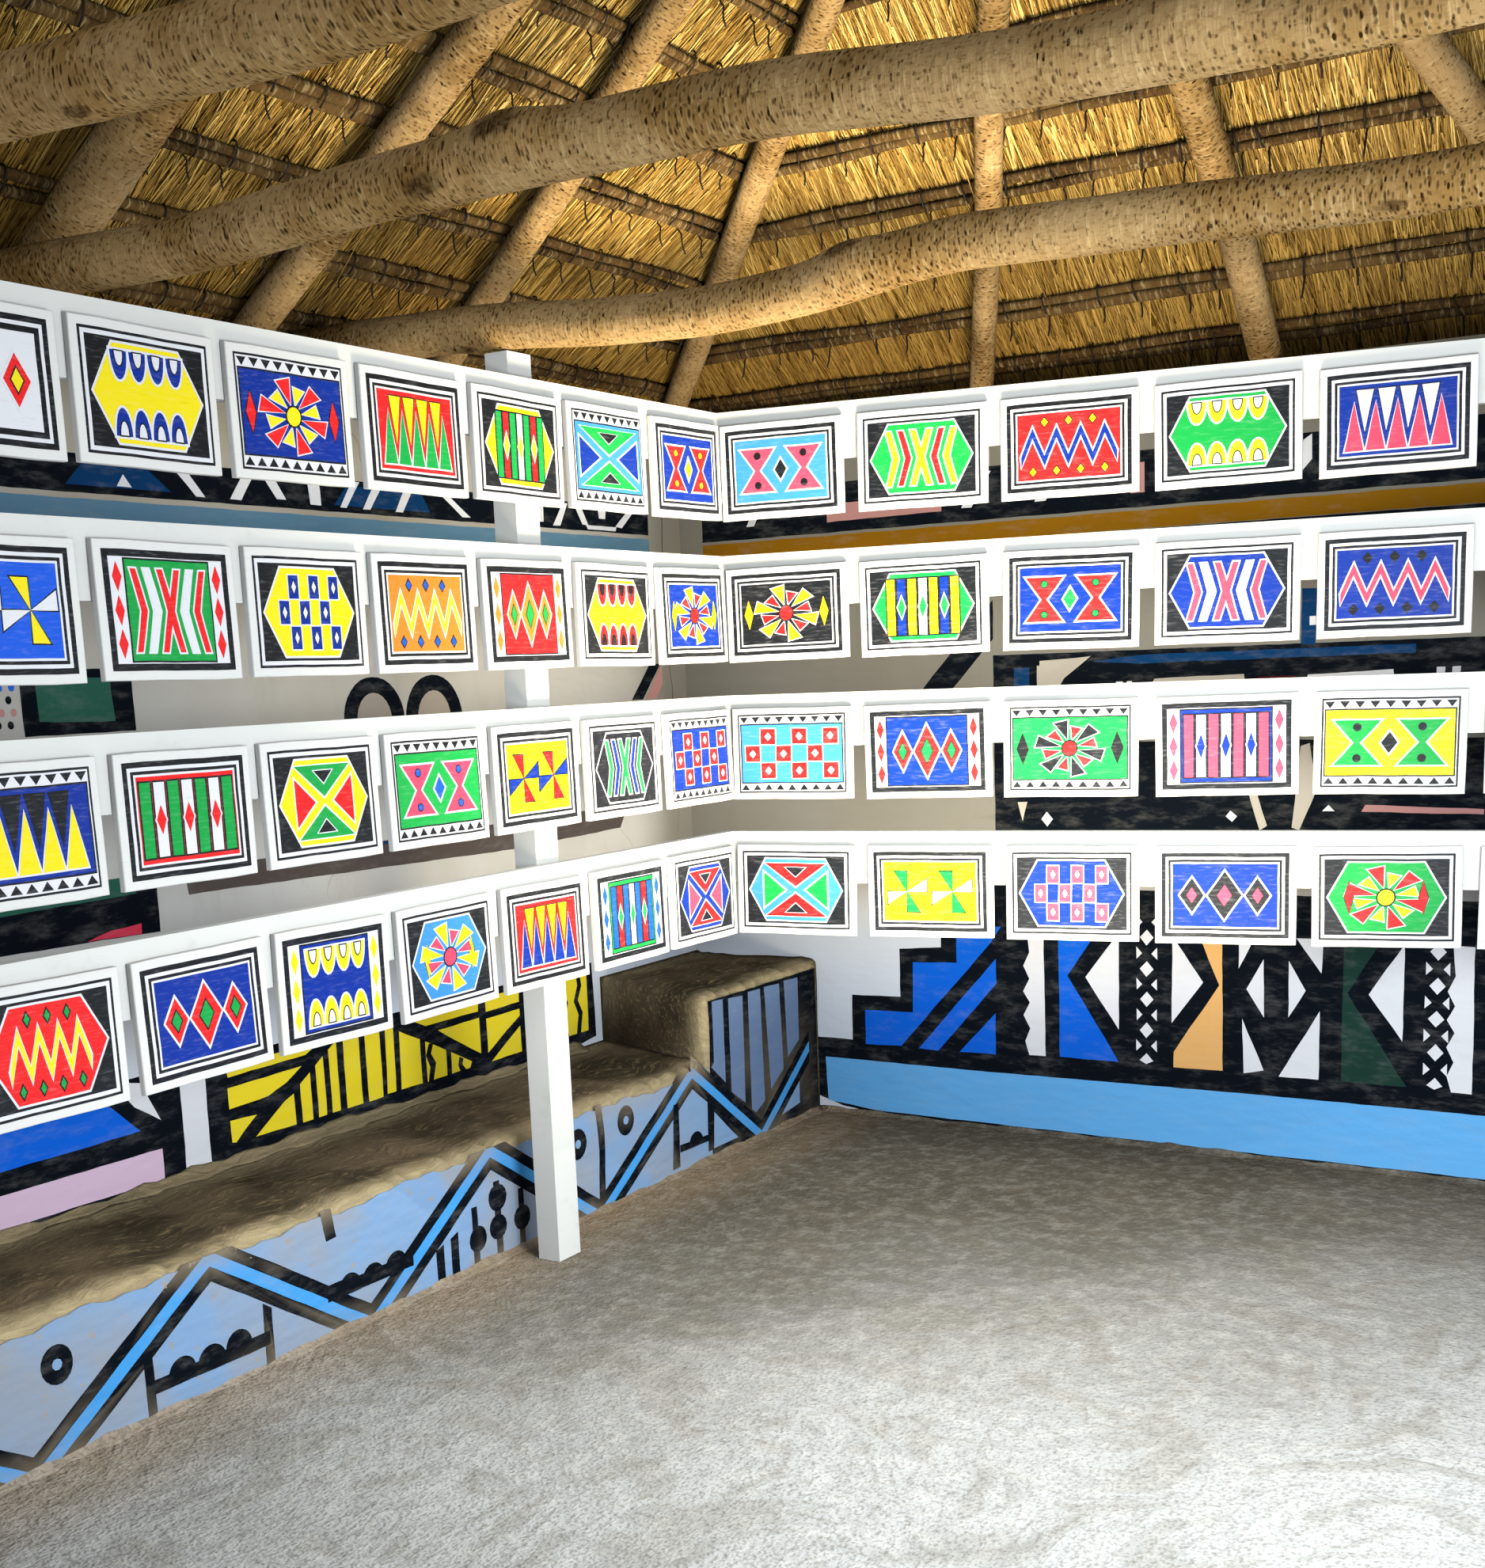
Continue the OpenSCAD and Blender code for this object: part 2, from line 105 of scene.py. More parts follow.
class Look:
    """A material under construction: its surface shader, and the shade laid on so far."""

    def __init__(self, name, roughness=0.85, shine=0.0, shade=None):
        self.shade = shade
        self.material = bpy.data.materials.new(name)
        self.material.use_nodes = True
        self.tree = self.material.node_tree
        self.surface = self.tree.nodes["Principled BSDF"]
        self.surface.inputs["Roughness"].default_value = roughness
        self.surface.inputs["Specular IOR Level"].default_value = shine

    def node(self, kind, settings=None, inputs=None, out=0):
        made = self.tree.nodes.new(kind)
        for key, value in (settings or {}).items():
            setattr(made, key, value)
        for key, value in (inputs or {}).items():
            if isinstance(value, Wire):
                self.tree.links.new(value.socket, made.inputs[key])
            else:
                made.inputs[key].default_value = value
        return Wire(self, made.outputs[out])

    def place(self):
        """The point on the piece, in metres."""
        return self.node("ShaderNodeTexCoord", out="Object")

    def uv(self, name):
        return self.node("ShaderNodeUVMap", {"uv_map": name})

    def attribute(self, name, out="Fac"):
        return self.node("ShaderNodeAttribute", {"attribute_name": name}, out=out)

    def vectors(self, operation, *terms, out="Vector"):
        settings = {"operation": operation}
        return self.node("ShaderNodeVectorMath", settings, dict(enumerate(terms)), out)

    def stretch(self, vector, factors):
        return self.vectors("MULTIPLY", vector, factors)

    def shift(self, vector, other):
        return self.vectors("ADD", vector, other)

    def axis(self, vector, letter):
        return self.node("ShaderNodeSeparateXYZ", inputs={0: vector}, out=letter)

    def noise(self, vector, scale, detail=3.0, rough=0.5, out="Fac", space="3D"):
        return self.node(
            "ShaderNodeTexNoise",
            {"noise_dimensions": space},
            {"Vector": vector, "Scale": scale, "Detail": detail, "Roughness": rough},
            out,
        )

    def cells(self, vector, scale, out="Distance", feature="F1", space="3D"):
        return self.node(
            "ShaderNodeTexVoronoi",
            {"feature": feature, "voronoi_dimensions": space},
            {"Vector": vector, "Scale": scale},
            out,
        )

    def mix(self, share, first, second):
        """first where share is 0, second where it is 1. The numbers are a Mix node's sockets."""
        return self.node(
            "ShaderNodeMix", {"data_type": "RGBA"}, {0: share, 6: first, 7: second}, 2
        )

    def tint(self, share, second):
        """Mixes a tint into the shade so far."""
        self.shade = self.mix(share, self.shade, second)

    def finish(self, height=None, strength=0.5, depth=0.005):
        """Joins the shade so far, and a bump of a height in metres, to the surface shader."""
        links = self.tree.links
        links.new(self.shade.socket, self.surface.inputs["Base Color"])
        if height is not None:
            bump = self.node(
                "ShaderNodeBump", inputs={"Height": height, "Strength": strength, "Distance": depth}
            )
            links.new(bump.socket, self.surface.inputs["Normal"])
        return self.material


# Paint tints. INKS gives the letters that stand for them in the rows of boards.

PAINTS = {
    name: rgb(code)
    for name, code in {
        "black": "10151c", "white": "e4e5ea", "tan": "e8b26e", "sky": "68b2ee", "blue": "1464dc",
        "navy": "123a66", "grey": "b9b3a8", "brown": "8f6414", "steel": "5f86a0",
        "green_dark": "1f3b33", "green_dull": "2f5f50", "umber": "574f4c", "wine": "4a1a20",
        "pink_dull": "c08c88", "pink_pale": "e0c2da", "pink_red": "e0405a", "yellow": "f5dd30",
        "slate": "6b82a6", "greyblue": "83a5cd", "brightblue": "4aa0e6", "clay": "a59c92",
        "crack": "5a5248", "canvas": "e2e2df", "deep": "002e96", "azure": "145adc",
        "lemon": "f8e414", "leaf": "10a046", "red": "ee2022", "rose": "fa4664",
        "light": "3c8ce1", "orange": "e68228",
    }.items()
}

INKS = {
    "w": "white", "y": "lemon", "b": "deep", "B": "azure", "r": "red", "p": "rose", "g": "leaf",
    "l": "light", "o": "orange", "k": "black",
}

# The hung boards, row by row from the top, left to right: each is its field, figure and accent.

BACK_BOARDS = (
    "gyr brw ygb wry ybw byr rgy ygr lgb bry",
    "byr rgw gbr Byw grw ybw oyB rog yrk bry",
    "ryb gry Byr byk rgw ygr gpB yrb kgb brw",
    "ybr bgy gyw ryg brg byw lpy rby gBr brp",
)
END_BOARDS = (
    "lpk gyr rby gyw bpw ybr rgb",
    "kry gyb brg bpw bpk gyr yrb",
    "lrw brg grk bpw ygk rby bgw",
    "lrg ygw bpw bkp gyr byr ryg",
)

# Wall and bench paint: rows of tint, layer and corners in millimetres. A corner is its place along
# X on the back wall and the bench, or along Y on the east wall, and its height.

EAST_BANDS = (
    ("black", 1, 1700, 382, 1510, 382, 1510, 554, 1306, 560, 1306, 742, 1136, 754, 1136, 868,
     930, 868, 930, 990, -2195, 990, -2195, 104, 1400, 104, 1560, 120, 1690, 160),
    ("sky", 2, 1630, 306, 1624, 136, 1400, 116, 0, 113, -2195, 113, -2195, 320, 0, 316, 1000, 306),
    ("black", 1, 916, 1790, -2195, 1790, -2195, 1640, 916, 1640),
    ("black", 1, 916, 1490, -2195, 1490, -2195, 1185, 916, 1185),
    ("black", 1, 2098, 2420, -2195, 2440, -2195, 2248, 2098, 2250),
    ("brown", 1, 2098, 2240, -2195, 2237, -2195, 2178, 2098, 2184),
    ("black", 1, 2098, 2182, -2195, 2176, -2195, 2150, 2098, 2160),
)
EAST_LOW = (
    ("blue", 2, 1454, 500, 1256, 506, 1252, 694, 1076, 702, 1076, 840, 900, 840, 936, 786,
      1306, 374, 1454, 370),
    ("blue", 2, 1234, 370, 920, 726, 920, 634, 1154, 370),
    ("blue", 2, 1070, 372, 924, 526, 924, 374),
)
EAST_COLUMNS = (
    ("white", 2, 804, 850, 740, 850, 734, 384, 796, 384, 812, 434, 792, 480, 816, 526, 792, 574,
      816, 614, 794, 660, 816, 706, 794, 754),
    ("blue", 2, 684, 850, 536, 850, 650, 680, 464, 388, 680, 386),
    ("white", 2, 464, 840, 464, 500, 584, 680),
    ("white", 2, 276, 850, 260, 814, 170, 686, 276, 538),
    ("tan", 2, 188, 850, 106, 850, 100, 388, 270, 386, 270, 440, 114, 680),
    ("white", 2, 50, 850, -4, 850, 50, 740),
    ("white", 2, -30, 774, -36, 580, 24, 674),
    ("white", 2, 36, 570, -36, 402, 30, 386),
    ("white", 2, -114, 774, -114, 586, -170, 680),
    ("white", 2, -136, 850, -224, 850, -218, 740),
    ("white", 2, -216, 614, -216, 386, -86, 386),
    ("green_dark", 2, -286, 850, -400, 850, -300, 680, -490, 388, -286, 388),
    ("white", 2, -474, 846, -474, 534, -366, 680),
)
EAST_MID = (
    ("black", 1, 1220, 1650, 1104, 1650, 916, 1846, 916, 1980),
    ("navy", 2, 840, 1744, 784, 1744, 784, 1676, 840, 1676),
    ("grey", 2, 756, 1750, 710, 1750, 730, 1670, 756, 1670),
    ("grey", 2, 746, 1766, 564, 1774, 656, 1706, 680, 1670, 746, 1670),
    ("navy", 2, 560, 1756, 390, 1774, -480, 1776, -480, 1750, 390, 1746),
    ("grey", 2, 356, 1666, 340, 1696, 44, 1702, 40, 1666),
    ("wine", 2, 0, 1692, -120, 1692, -120, 1666, 0, 1666),
    ("white", 2, -150, 1666, -158, 1694, -416, 1702, -420, 1666),
    ("white", 2, 474, 1690, 450, 1690, 450, 1670, 474, 1670),
    ("white", 2, 436, 1690, 418, 1690, 418, 1670, 436, 1670),
    ("white", 2, -542, 1706, -566, 1706, -566, 1686, -542, 1686),
    ("white", 2, -586, 1706, -610, 1706, -610, 1686, -586, 1686),
    ("navy", 2, -134, 1960, -180, 1960, -180, 1786, -134, 1786),
    ("white", 3, -160, 1874, -180, 1874, -180, 1846, -160, 1846),
    ("grey", 2, 830, 1284, 794, 1284, 812, 1218),
    ("white", 2, 744, 1226, 724, 1252, 702, 1228, 722, 1202),
    ("white", 2, 100, 1244, 84, 1262, 62, 1244, 78, 1226),
    ("grey", 2, 28, 1330, 2, 1330, -36, 1214, -12, 1200),
    ("grey", 2, -114, 1210, -138, 1202, -192, 1330, -168, 1480, -140, 1470),
    ("pink_dull", 2, -330, 1262, -342, 1284, -690, 1274, -690, 1258),
    ("white", 2, -210, 1264, -230, 1284, -250, 1264),
)
EAST_UP = (
    ("white", 2, 2076, 2330, 2050, 2330, 1964, 2440, 2000, 2440),
    ("white", 2, 1900, 2294, 1868, 2294, 1820, 2380, 1856, 2380),
    ("pink_dull", 2, 1560, 2350, 1560, 2286, 1104, 2290, 1104, 2350),
    ("white", 2, 1030, 2294, 992, 2294, 916, 2410, 956, 2410),
    ("grey", 2, 976, 2530, 920, 2530, 920, 2426, 944, 2426),
    ("pink_dull", 2, 424, 2390, 376, 2390, 376, 2294, 424, 2294),
    ("white", 2, -104, 2290, -158, 2350, -158, 2426, -132, 2410),
    ("white", 2, 760, 2294, 720, 2294, 680, 2370, 720, 2370),
)
BACK_BANDS = (
    ("black", 1, -3295, 2380, 3092, 2370, 3090, 2276, -3295, 2280),
    ("steel", 1, -3295, 2268, 1600, 2262, 3092, 2262, 3092, 2206, -3295, 2204),
    ("black", 1, -3295, 770, 724, 768, 720, 452, -3295, 452),
    ("black", 1, 812, 760, 2605, 752, 2612, 480, 2400, 452, 808, 452),
    ("white", 1, 724, 760, 812, 760, 808, 452, 722, 452),
)
BACK_UP = (
    ("navy", 2, 550, 2296, 610, 2356, 800, 2356, 880, 2296),
    ("white", 3, 706, 2300, 730, 2332, 754, 2300),
    ("white", 2, 880, 2372, 924, 2372, 996, 2290, 964, 2290),
    ("white", 2, 1084, 2290, 1144, 2372, 1184, 2372, 1124, 2290),
    ("white", 2, 1200, 2372, 1244, 2372, 1292, 2300, 1256, 2300),
    ("white", 2, 1376, 2372, 1424, 2372, 1428, 2292, 1386, 2292),
    ("navy", 2, 1480, 2296, 1540, 2356, 1860, 2356, 1900, 2296),
    ("white", 3, 1504, 2290, 1560, 2370, 1592, 2370, 1530, 2290),
    ("white", 3, 1600, 2290, 1656, 2370, 1692, 2370, 1632, 2290),
    ("white", 3, 1792, 2370, 1832, 2370, 1772, 2290, 1740, 2290),
    ("white", 2, 1924, 2370, 1960, 2370, 2090, 2290, 2050, 2290),
    ("white", 2, 2410, 2366, 2470, 2366, 2470, 2296, 2410, 2292),
    ("white", 2, 2520, 2286, 2580, 2364, 2608, 2364, 2560, 2286),
    ("white", 2, 2644, 2364, 2680, 2364, 2724, 2296, 2690, 2296),
    ("white", 2, 2780, 2364, 2830, 2364, 2824, 2322, 2788, 2322),
    ("white", 2, 2710, 2296, 2890, 2296, 2884, 2282, 2720, 2282),
    ("white", 2, 2884, 2298, 2976, 2364, 3012, 2364, 2924, 2294),
)
BACK_LOW = (
    ("blue", 2, -300, 730, 470, 730, 580, 620, -300, 620),
    ("white", 2, 504, 770, 594, 750, 648, 636, 568, 690),
    ("pink_pale", 2, -300, 564, 644, 556, 644, 470, -300, 480),
    ("yellow", 2, 886, 732, 1260, 732, 1190, 704, 890, 700),
    ("yellow", 2, 886, 670, 1170, 674, 1104, 636, 1036, 614, 886, 608),
    ("yellow", 2, 886, 574, 984, 570, 900, 508, 886, 512),
    ("yellow", 2, 976, 506, 1096, 584, 1132, 598, 1132, 506),
    ("yellow", 2, 1158, 620, 1200, 648, 1200, 504, 1158, 504),
    ("yellow", 2, 1224, 664, 1258, 686, 1258, 504, 1224, 504),
    ("yellow", 2, 1282, 700, 1316, 720, 1316, 504, 1282, 504),
    ("yellow", 2, 1344, 732, 1410, 732, 1410, 504, 1344, 504),
    ("yellow", 2, 1436, 732, 1502, 732, 1500, 504, 1436, 504),
    ("yellow", 2, 1528, 724, 1564, 712, 1560, 508, 1520, 508),
    ("yellow", 2, 1590, 696, 1680, 652, 1680, 508, 1584, 508),
    ("yellow", 2, 1704, 640, 1800, 592, 1800, 508, 1704, 508),
    ("yellow", 2, 1824, 580, 1924, 528, 1912, 508, 1824, 508),
    ("yellow", 2, 1620, 730, 1972, 730, 1968, 690, 1712, 690),
    ("yellow", 2, 1768, 664, 1972, 668, 1972, 544, 1924, 572),
    ("yellow", 2, 2008, 730, 2184, 730, 2184, 684, 2008, 680),
    ("yellow", 2, 2008, 656, 2184, 660, 2184, 636, 2008, 540),
    ("yellow", 2, 2024, 508, 2184, 600, 2184, 508),
    ("yellow", 2, 2410, 732, 2570, 732, 2566, 508, 2410, 508),
    ("black", 3, 1720, 630, 1740, 624, 1728, 594, 1748, 560, 1732, 508, 1708, 508, 1720, 552,
      1704, 592),
    ("black", 3, 1864, 556, 1884, 546, 1876, 528, 1892, 508, 1864, 508, 1856, 528),
    ("black", 3, 2424, 732, 2448, 732, 2432, 680, 2456, 630, 2432, 580, 2452, 508, 2424, 508,
      2408, 576, 2432, 628, 2408, 684),
    ("black", 3, 2504, 732, 2528, 732, 2536, 680, 2512, 630, 2536, 580, 2520, 508, 2496, 508,
      2512, 576, 2488, 628, 2512, 684),
)
BACK_MID = (
    ("black", 1, 356, 1840, 624, 1840, 694, 1816, 694, 1680, 356, 1680),
    ("green_dull", 2, 400, 1824, 624, 1816, 630, 1706, 404, 1714),
    ("black", 1, 2936, 1680, 3006, 1680, 3132, 1808, 3060, 1808),
    ("pink_dull", 2, 3024, 1680, 3092, 1680, 3140, 1732, 3140, 1804),
    ("black", 1, -100, 1290, 710, 1290, 710, 1144, -100, 1156),
    ("green_dull", 2, -100, 1304, 640, 1300, 640, 1254, 270, 1248, -100, 1248),
    ("pink_red", 2, 476, 1150, 550, 1168, 648, 1174, 648, 1146),
    ("umber", 1, 810, 1296, 2880, 1300, 2824, 1220, 2200, 1206, 816, 1230),
    ("navy", 2, 1280, 1296, 2060, 1294, 2056, 1286, 1280, 1286),
)
BENCH_MARKS = (
    ("black", 3, 682, 438, 720, 438, 732, 358, 696, 356),
    ("black", 3, 96, 258, 122, 282, 124, 98, 98, 98),
    ("black", 3, 466, 264, 494, 244, 492, 98, 464, 98),
    ("black", 3, 122, 190, 482, 188, 482, 152, 122, 156),
    ("black", 3, 684, 236, 750, 236, 750, 192, 684, 192),
    ("black", 3, 738, 230, 1012, 230, 1012, 192, 738, 192),
    ("black", 3, 1104, 202, 1136, 214, 1136, 98, 1104, 98),
    ("black", 3, 1166, 220, 1198, 232, 1198, 98, 1166, 98),
    ("black", 3, 1262, 282, 1286, 282, 1288, 98, 1262, 98),
    ("black", 3, 1364, 332, 1390, 332, 1392, 98, 1364, 98),
    ("black", 3, 1472, 282, 1496, 282, 1496, 98, 1470, 98),
    ("black", 3, 1868, 442, 1900, 442, 1912, 344, 1912, 296, 1900, 120, 1868, 120, 1882, 296,
      1880, 344),
    ("black", 3, 2302, 344, 2332, 344, 2328, 122, 2284, 122),
    ("black", 3, 2510, 320, 2544, 308, 2536, 132, 2504, 132),
    ("black", 3, 2332, 198, 2510, 192, 2510, 170, 2332, 172),
)
BLOCK_BARS = (
    ("slate", 2, 2562, 652, 2632, 648, 2632, 348, 2544, 424, 2562, 438),
    ("slate", 2, 2668, 644, 2762, 638, 2756, 248, 2668, 308),
    ("slate", 2, 2798, 644, 2882, 642, 2890, 226, 2824, 196, 2798, 214),
    ("slate", 2, 2910, 642, 3016, 638, 3028, 314, 2936, 258),
    ("slate", 2, 3050, 642, 3150, 638, 3148, 402, 3062, 352),
)


# Meshes


def put_piece(name, points, faces, material, slot, nodes=(), uv=None, smooth=True, **values):
    """A mesh piece from arrays. faces is a list of index arrays, one for each count of corners.
    values are numbers or colours for each point, kept as attributes of their own names."""
    mesh = bpy.data.meshes.new(name)
    points = np.asarray(points, dtype=np.float32).reshape(-1, 3)
    faces = [np.asarray(f, dtype=np.int32) for f in faces]
    totals = np.concatenate([np.full(len(f), f.shape[1], dtype=np.int32) for f in faces])
    corners = np.concatenate([f.ravel() for f in faces])
    mesh.vertices.add(len(points))
    mesh.vertices.foreach_set("co", points.ravel())
    mesh.loops.add(len(corners))
    mesh.loops.foreach_set("vertex_index", corners)
    mesh.polygons.add(len(totals))
    mesh.polygons.foreach_set("loop_start", np.cumsum(totals) - totals)
    mesh.polygons.foreach_set("use_smooth", np.full(len(totals), smooth))
    if uv is not None:
        mesh.uv_layers.new(name="along").data.foreach_set("uv", uv.astype(np.float32).ravel())
    for key, value in values.items():
        value = np.asarray(value, dtype=np.float32)
        if value.ndim == 1:
            mesh.attributes.new(key, "FLOAT", "POINT").data.foreach_set("value", value)
        else:
            made = mesh.attributes.new(key, "FLOAT_COLOR", "POINT")
            made.data.foreach_set("color", value.ravel())
    mesh.update(calc_edges=True)
    mesh.materials.append(material)
    piece = bpy.data.objects.new(name, mesh)
    bpy.context.scene.collection.objects.link(piece)
    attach(piece, BODY)
    if nodes:
        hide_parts(*nodes)
    return piece


def unit(vectors):
    return vectors / np.linalg.norm(vectors, axis=-1, keepdims=True)


def skin(n, m):
    """Faces of a tube with n rings of m points: the quads between them and a cap at each end."""
    i, j = np.meshgrid(np.arange(n - 1), np.arange(m), indexing="ij")
    k = (j + 1) % m
    quads = np.stack([i * m + j, i * m + k, (i + 1) * m + k, (i + 1) * m + j], -1).reshape(-1, 4)
    return [quads, np.arange(m)[None, ::-1], (n - 1) * m + np.arange(m)[None]]


def sweep(paths, radii, sides, ref=UP):
    """Round tubes along many paths at once, shape (tubes, rings, 3). A ring's point is the path
    plus its radius times cos a of one direction and sin a of another, both square to the path.
    Returns points, faces and the corners' place round and along the tube, in metres. Each tube's
    places start uv_step further along, so that no two have the same bark."""
    uv_step = 7.31
    count, rings = paths.shape[:2]
    along = unit(np.gradient(paths, axis=1))
    side = unit(np.cross(along, np.broadcast_to(ref, along.shape)))
    over = np.cross(along, side)
    turn = np.arange(sides) * 2 * math.pi / sides
    radii = np.broadcast_to(radii, (count, rings, sides))[..., None]
    ring = side[:, :, None] * np.cos(turn)[:, None] + over[:, :, None] * np.sin(turn)[:, None]
    points = paths[:, :, None] + radii * ring
    starts = (np.arange(count) * rings * sides)[:, None, None]
    faces = [(starts + f).reshape(-1, f.shape[-1]) for f in skin(rings, sides)]
    lengths = np.linalg.norm(np.diff(paths, axis=1), axis=-1)
    run = np.concatenate([np.zeros((count, 1)), np.cumsum(lengths, axis=1)], axis=1)
    girth = 2 * math.pi * radii.mean(axis=(1, 2, 3)) / sides
    tube, i, j = np.meshgrid(
        np.arange(count), np.arange(rings - 1), np.arange(sides), indexing="ij"
    )
    shift = tube * uv_step
    u0, u1 = girth[tube] * j, girth[tube] * (j + 1)
    v0, v1 = run[tube, i] + shift, run[tube, i + 1] + shift
    uv = np.stack([u0, v0, u1, v0, u1, v1, u0, v1], axis=-1).reshape(-1, 2)
    uv = np.concatenate([uv, np.zeros((2 * count * sides, 2))])
    return points.reshape(-1, 3), faces, uv



# Painted surfaces


def wobble(flat, size):
    """An unsteady hand: each point of a plane moves by smooth waves of its own place, by size at
    most."""
    waves, both_waves = 11, 1.6
    x, y = flat[:, :1] * waves, flat[:, 1:] * waves
    drift = np.concatenate(
        [
            np.sin(2.1 * x + 1.3 * np.sin(1.7 * y)) + 0.6 * np.sin(5.3 * y + 2.0 * np.sin(1.1 * x)),
            np.sin(2.3 * y + 1.1 * np.sin(1.9 * x)) + 0.6 * np.sin(4.9 * x + 1.7 * np.sin(1.3 * y)),
        ],
        axis=1,
    )
    return flat + drift * size / both_waves


def corners_of(numbers):
    return np.asarray(numbers, dtype=float).reshape(-1, 2)


def drawn(corners, step):
    """An outline's corners with points between them, no more than step apart."""
    ends = np.roll(corners, -1, axis=0)
    counts = np.maximum(1, np.ceil(np.linalg.norm(ends - corners, axis=1) / step)).astype(int)
    return np.concatenate(
        [a + (b - a) * (np.arange(n) / n)[:, None] for a, b, n in zip(corners, ends, counts)]
    )


def turns_left(flat):
    x, y = flat.T
    return (x * np.roll(y, -1) - y * np.roll(x, -1)).sum() > 0


def grow(numbers, reach):
    """An outline moved outwards by reach, each corner along the bisector of its sides, whose step
    is reach times the sum of the sides' normals over one plus their product. A sharp corner's
    product is held up, so that it doesn't shoot out."""
    sharpest = 0.4
    flat = corners_of(numbers)
    flat = flat if turns_left(flat) else flat[::-1]
    ahead = unit(np.roll(flat, -1, axis=0) - flat)
    out = np.stack([ahead[:, 1], -ahead[:, 0]], axis=1)
    before = np.roll(out, 1, axis=0)
    share = (1 + (out * before).sum(axis=1, keepdims=True)).clip(sharpest)
    return flat + reach * (out + before) / share


def cut(numbers, low, high):
    """The part of a convex outline between two heights."""
    points = [tuple(p) for p in corners_of(numbers)]
    for level, sign in ((low, 1), (high, -1)):
        kept = []
        for a, b in zip(points, points[1:] + points[:1]):
            rise, next_rise = sign * (a[1] - level), sign * (b[1] - level)
            if rise >= 0:
                kept.append(a)
            if rise * next_rise < 0:
                share = rise / (rise - next_rise)
                kept.append((a[0] + share * (b[0] - a[0]), level))
        points = kept
    return np.array(points)


def arc(x, y, across, up, start=0, end=360, count=16):
    """Corners on an ellipse round a point, between two bearings in degrees."""
    turn = np.radians(np.linspace(start, end, count, endpoint=end - start < 360))
    return np.stack([x + across * np.cos(turn), y + up * np.sin(turn)], axis=1)


class Paint:
    """Painted shapes on flat surfaces, gathered into one mesh. Each is an outline carried from a
    little behind the surface to its layer's height, so it is a thin closed plate. hand is how far
    the hand strays, and step the longest straight run between an outline's points."""

    layer_t = 0.0003
    hair = 2.5e-6
    sink = 0.004

    def __init__(self, hand, step):
        self.hand, self.step = hand, step
        self.points, self.faces, self.tints = [], [], []
        self.count = 0

    def plane(self, origin, right, up):
        """Sets the surface that the next shapes lie on."""
        self.origin, self.right, self.up = (np.array(v, dtype=float) for v in (origin, right, up))
        self.out = np.cross(self.right, self.up)

    def plate(self, tint, flat, levels):
        """A closed plate: the outline, drawn smaller by each level's share, at its height."""
        flat = flat if turns_left(flat) else flat[::-1]
        middle = flat.mean(axis=0)
        loops = []
        for share, height in levels:
            ring = middle + (flat - middle) * share
            loops.append(
                self.origin + ring[:, :1] * self.right + ring[:, 1:] * self.up + height * self.out
            )
        n = len(flat)
        ring = np.arange(n)
        ahead = np.roll(ring, -1)
        faces = [ring[None, ::-1], ring[None] + (len(levels) - 1) * n]
        for i in range(len(levels) - 1):
            low, high = i * n, (i + 1) * n
            faces.append(np.stack([ring + low, ahead + low, ahead + high, ring + high], axis=1))
        self.faces += [f + self.count for f in faces]
        self.points.append(np.concatenate(loops))
        self.tints.append(np.tile(PAINTS[tint], (n * len(levels), 1)))
        self.count += n * len(levels)

    def shape(self, tint, corners, layer=1):
        """A painted shape. Later shapes lie a hair above earlier ones of the same layer."""
        flat = wobble(drawn(corners_of(corners), self.step), self.hand)
        top = self.layer_t * layer + self.hair * (len(self.points) % 100)
        self.plate(tint, flat, ((1, -self.sink), (1, top)))

    def table(self, rows, side=1, shift=0.0):
        """Shapes from rows of tint, layer and corners in millimetres."""
        for tint, layer, *numbers in rows:
            corners = corners_of(numbers) / 1000 + (shift, 0)
            self.shape(tint, corners * (side, 1), layer)

    def put(self, name, material, slot, nodes=(), worn=None):
        """The piece. worn gives each point's wear from the points."""
        points = np.concatenate(self.points)
        worn = np.zeros(len(points)) if worn is None else worn(points)
        return put_piece(
            name, points, self.faces, material, slot, nodes, smooth=False,
            paint=np.concatenate(self.tints), worn=worn,
        )


# The roof's planes


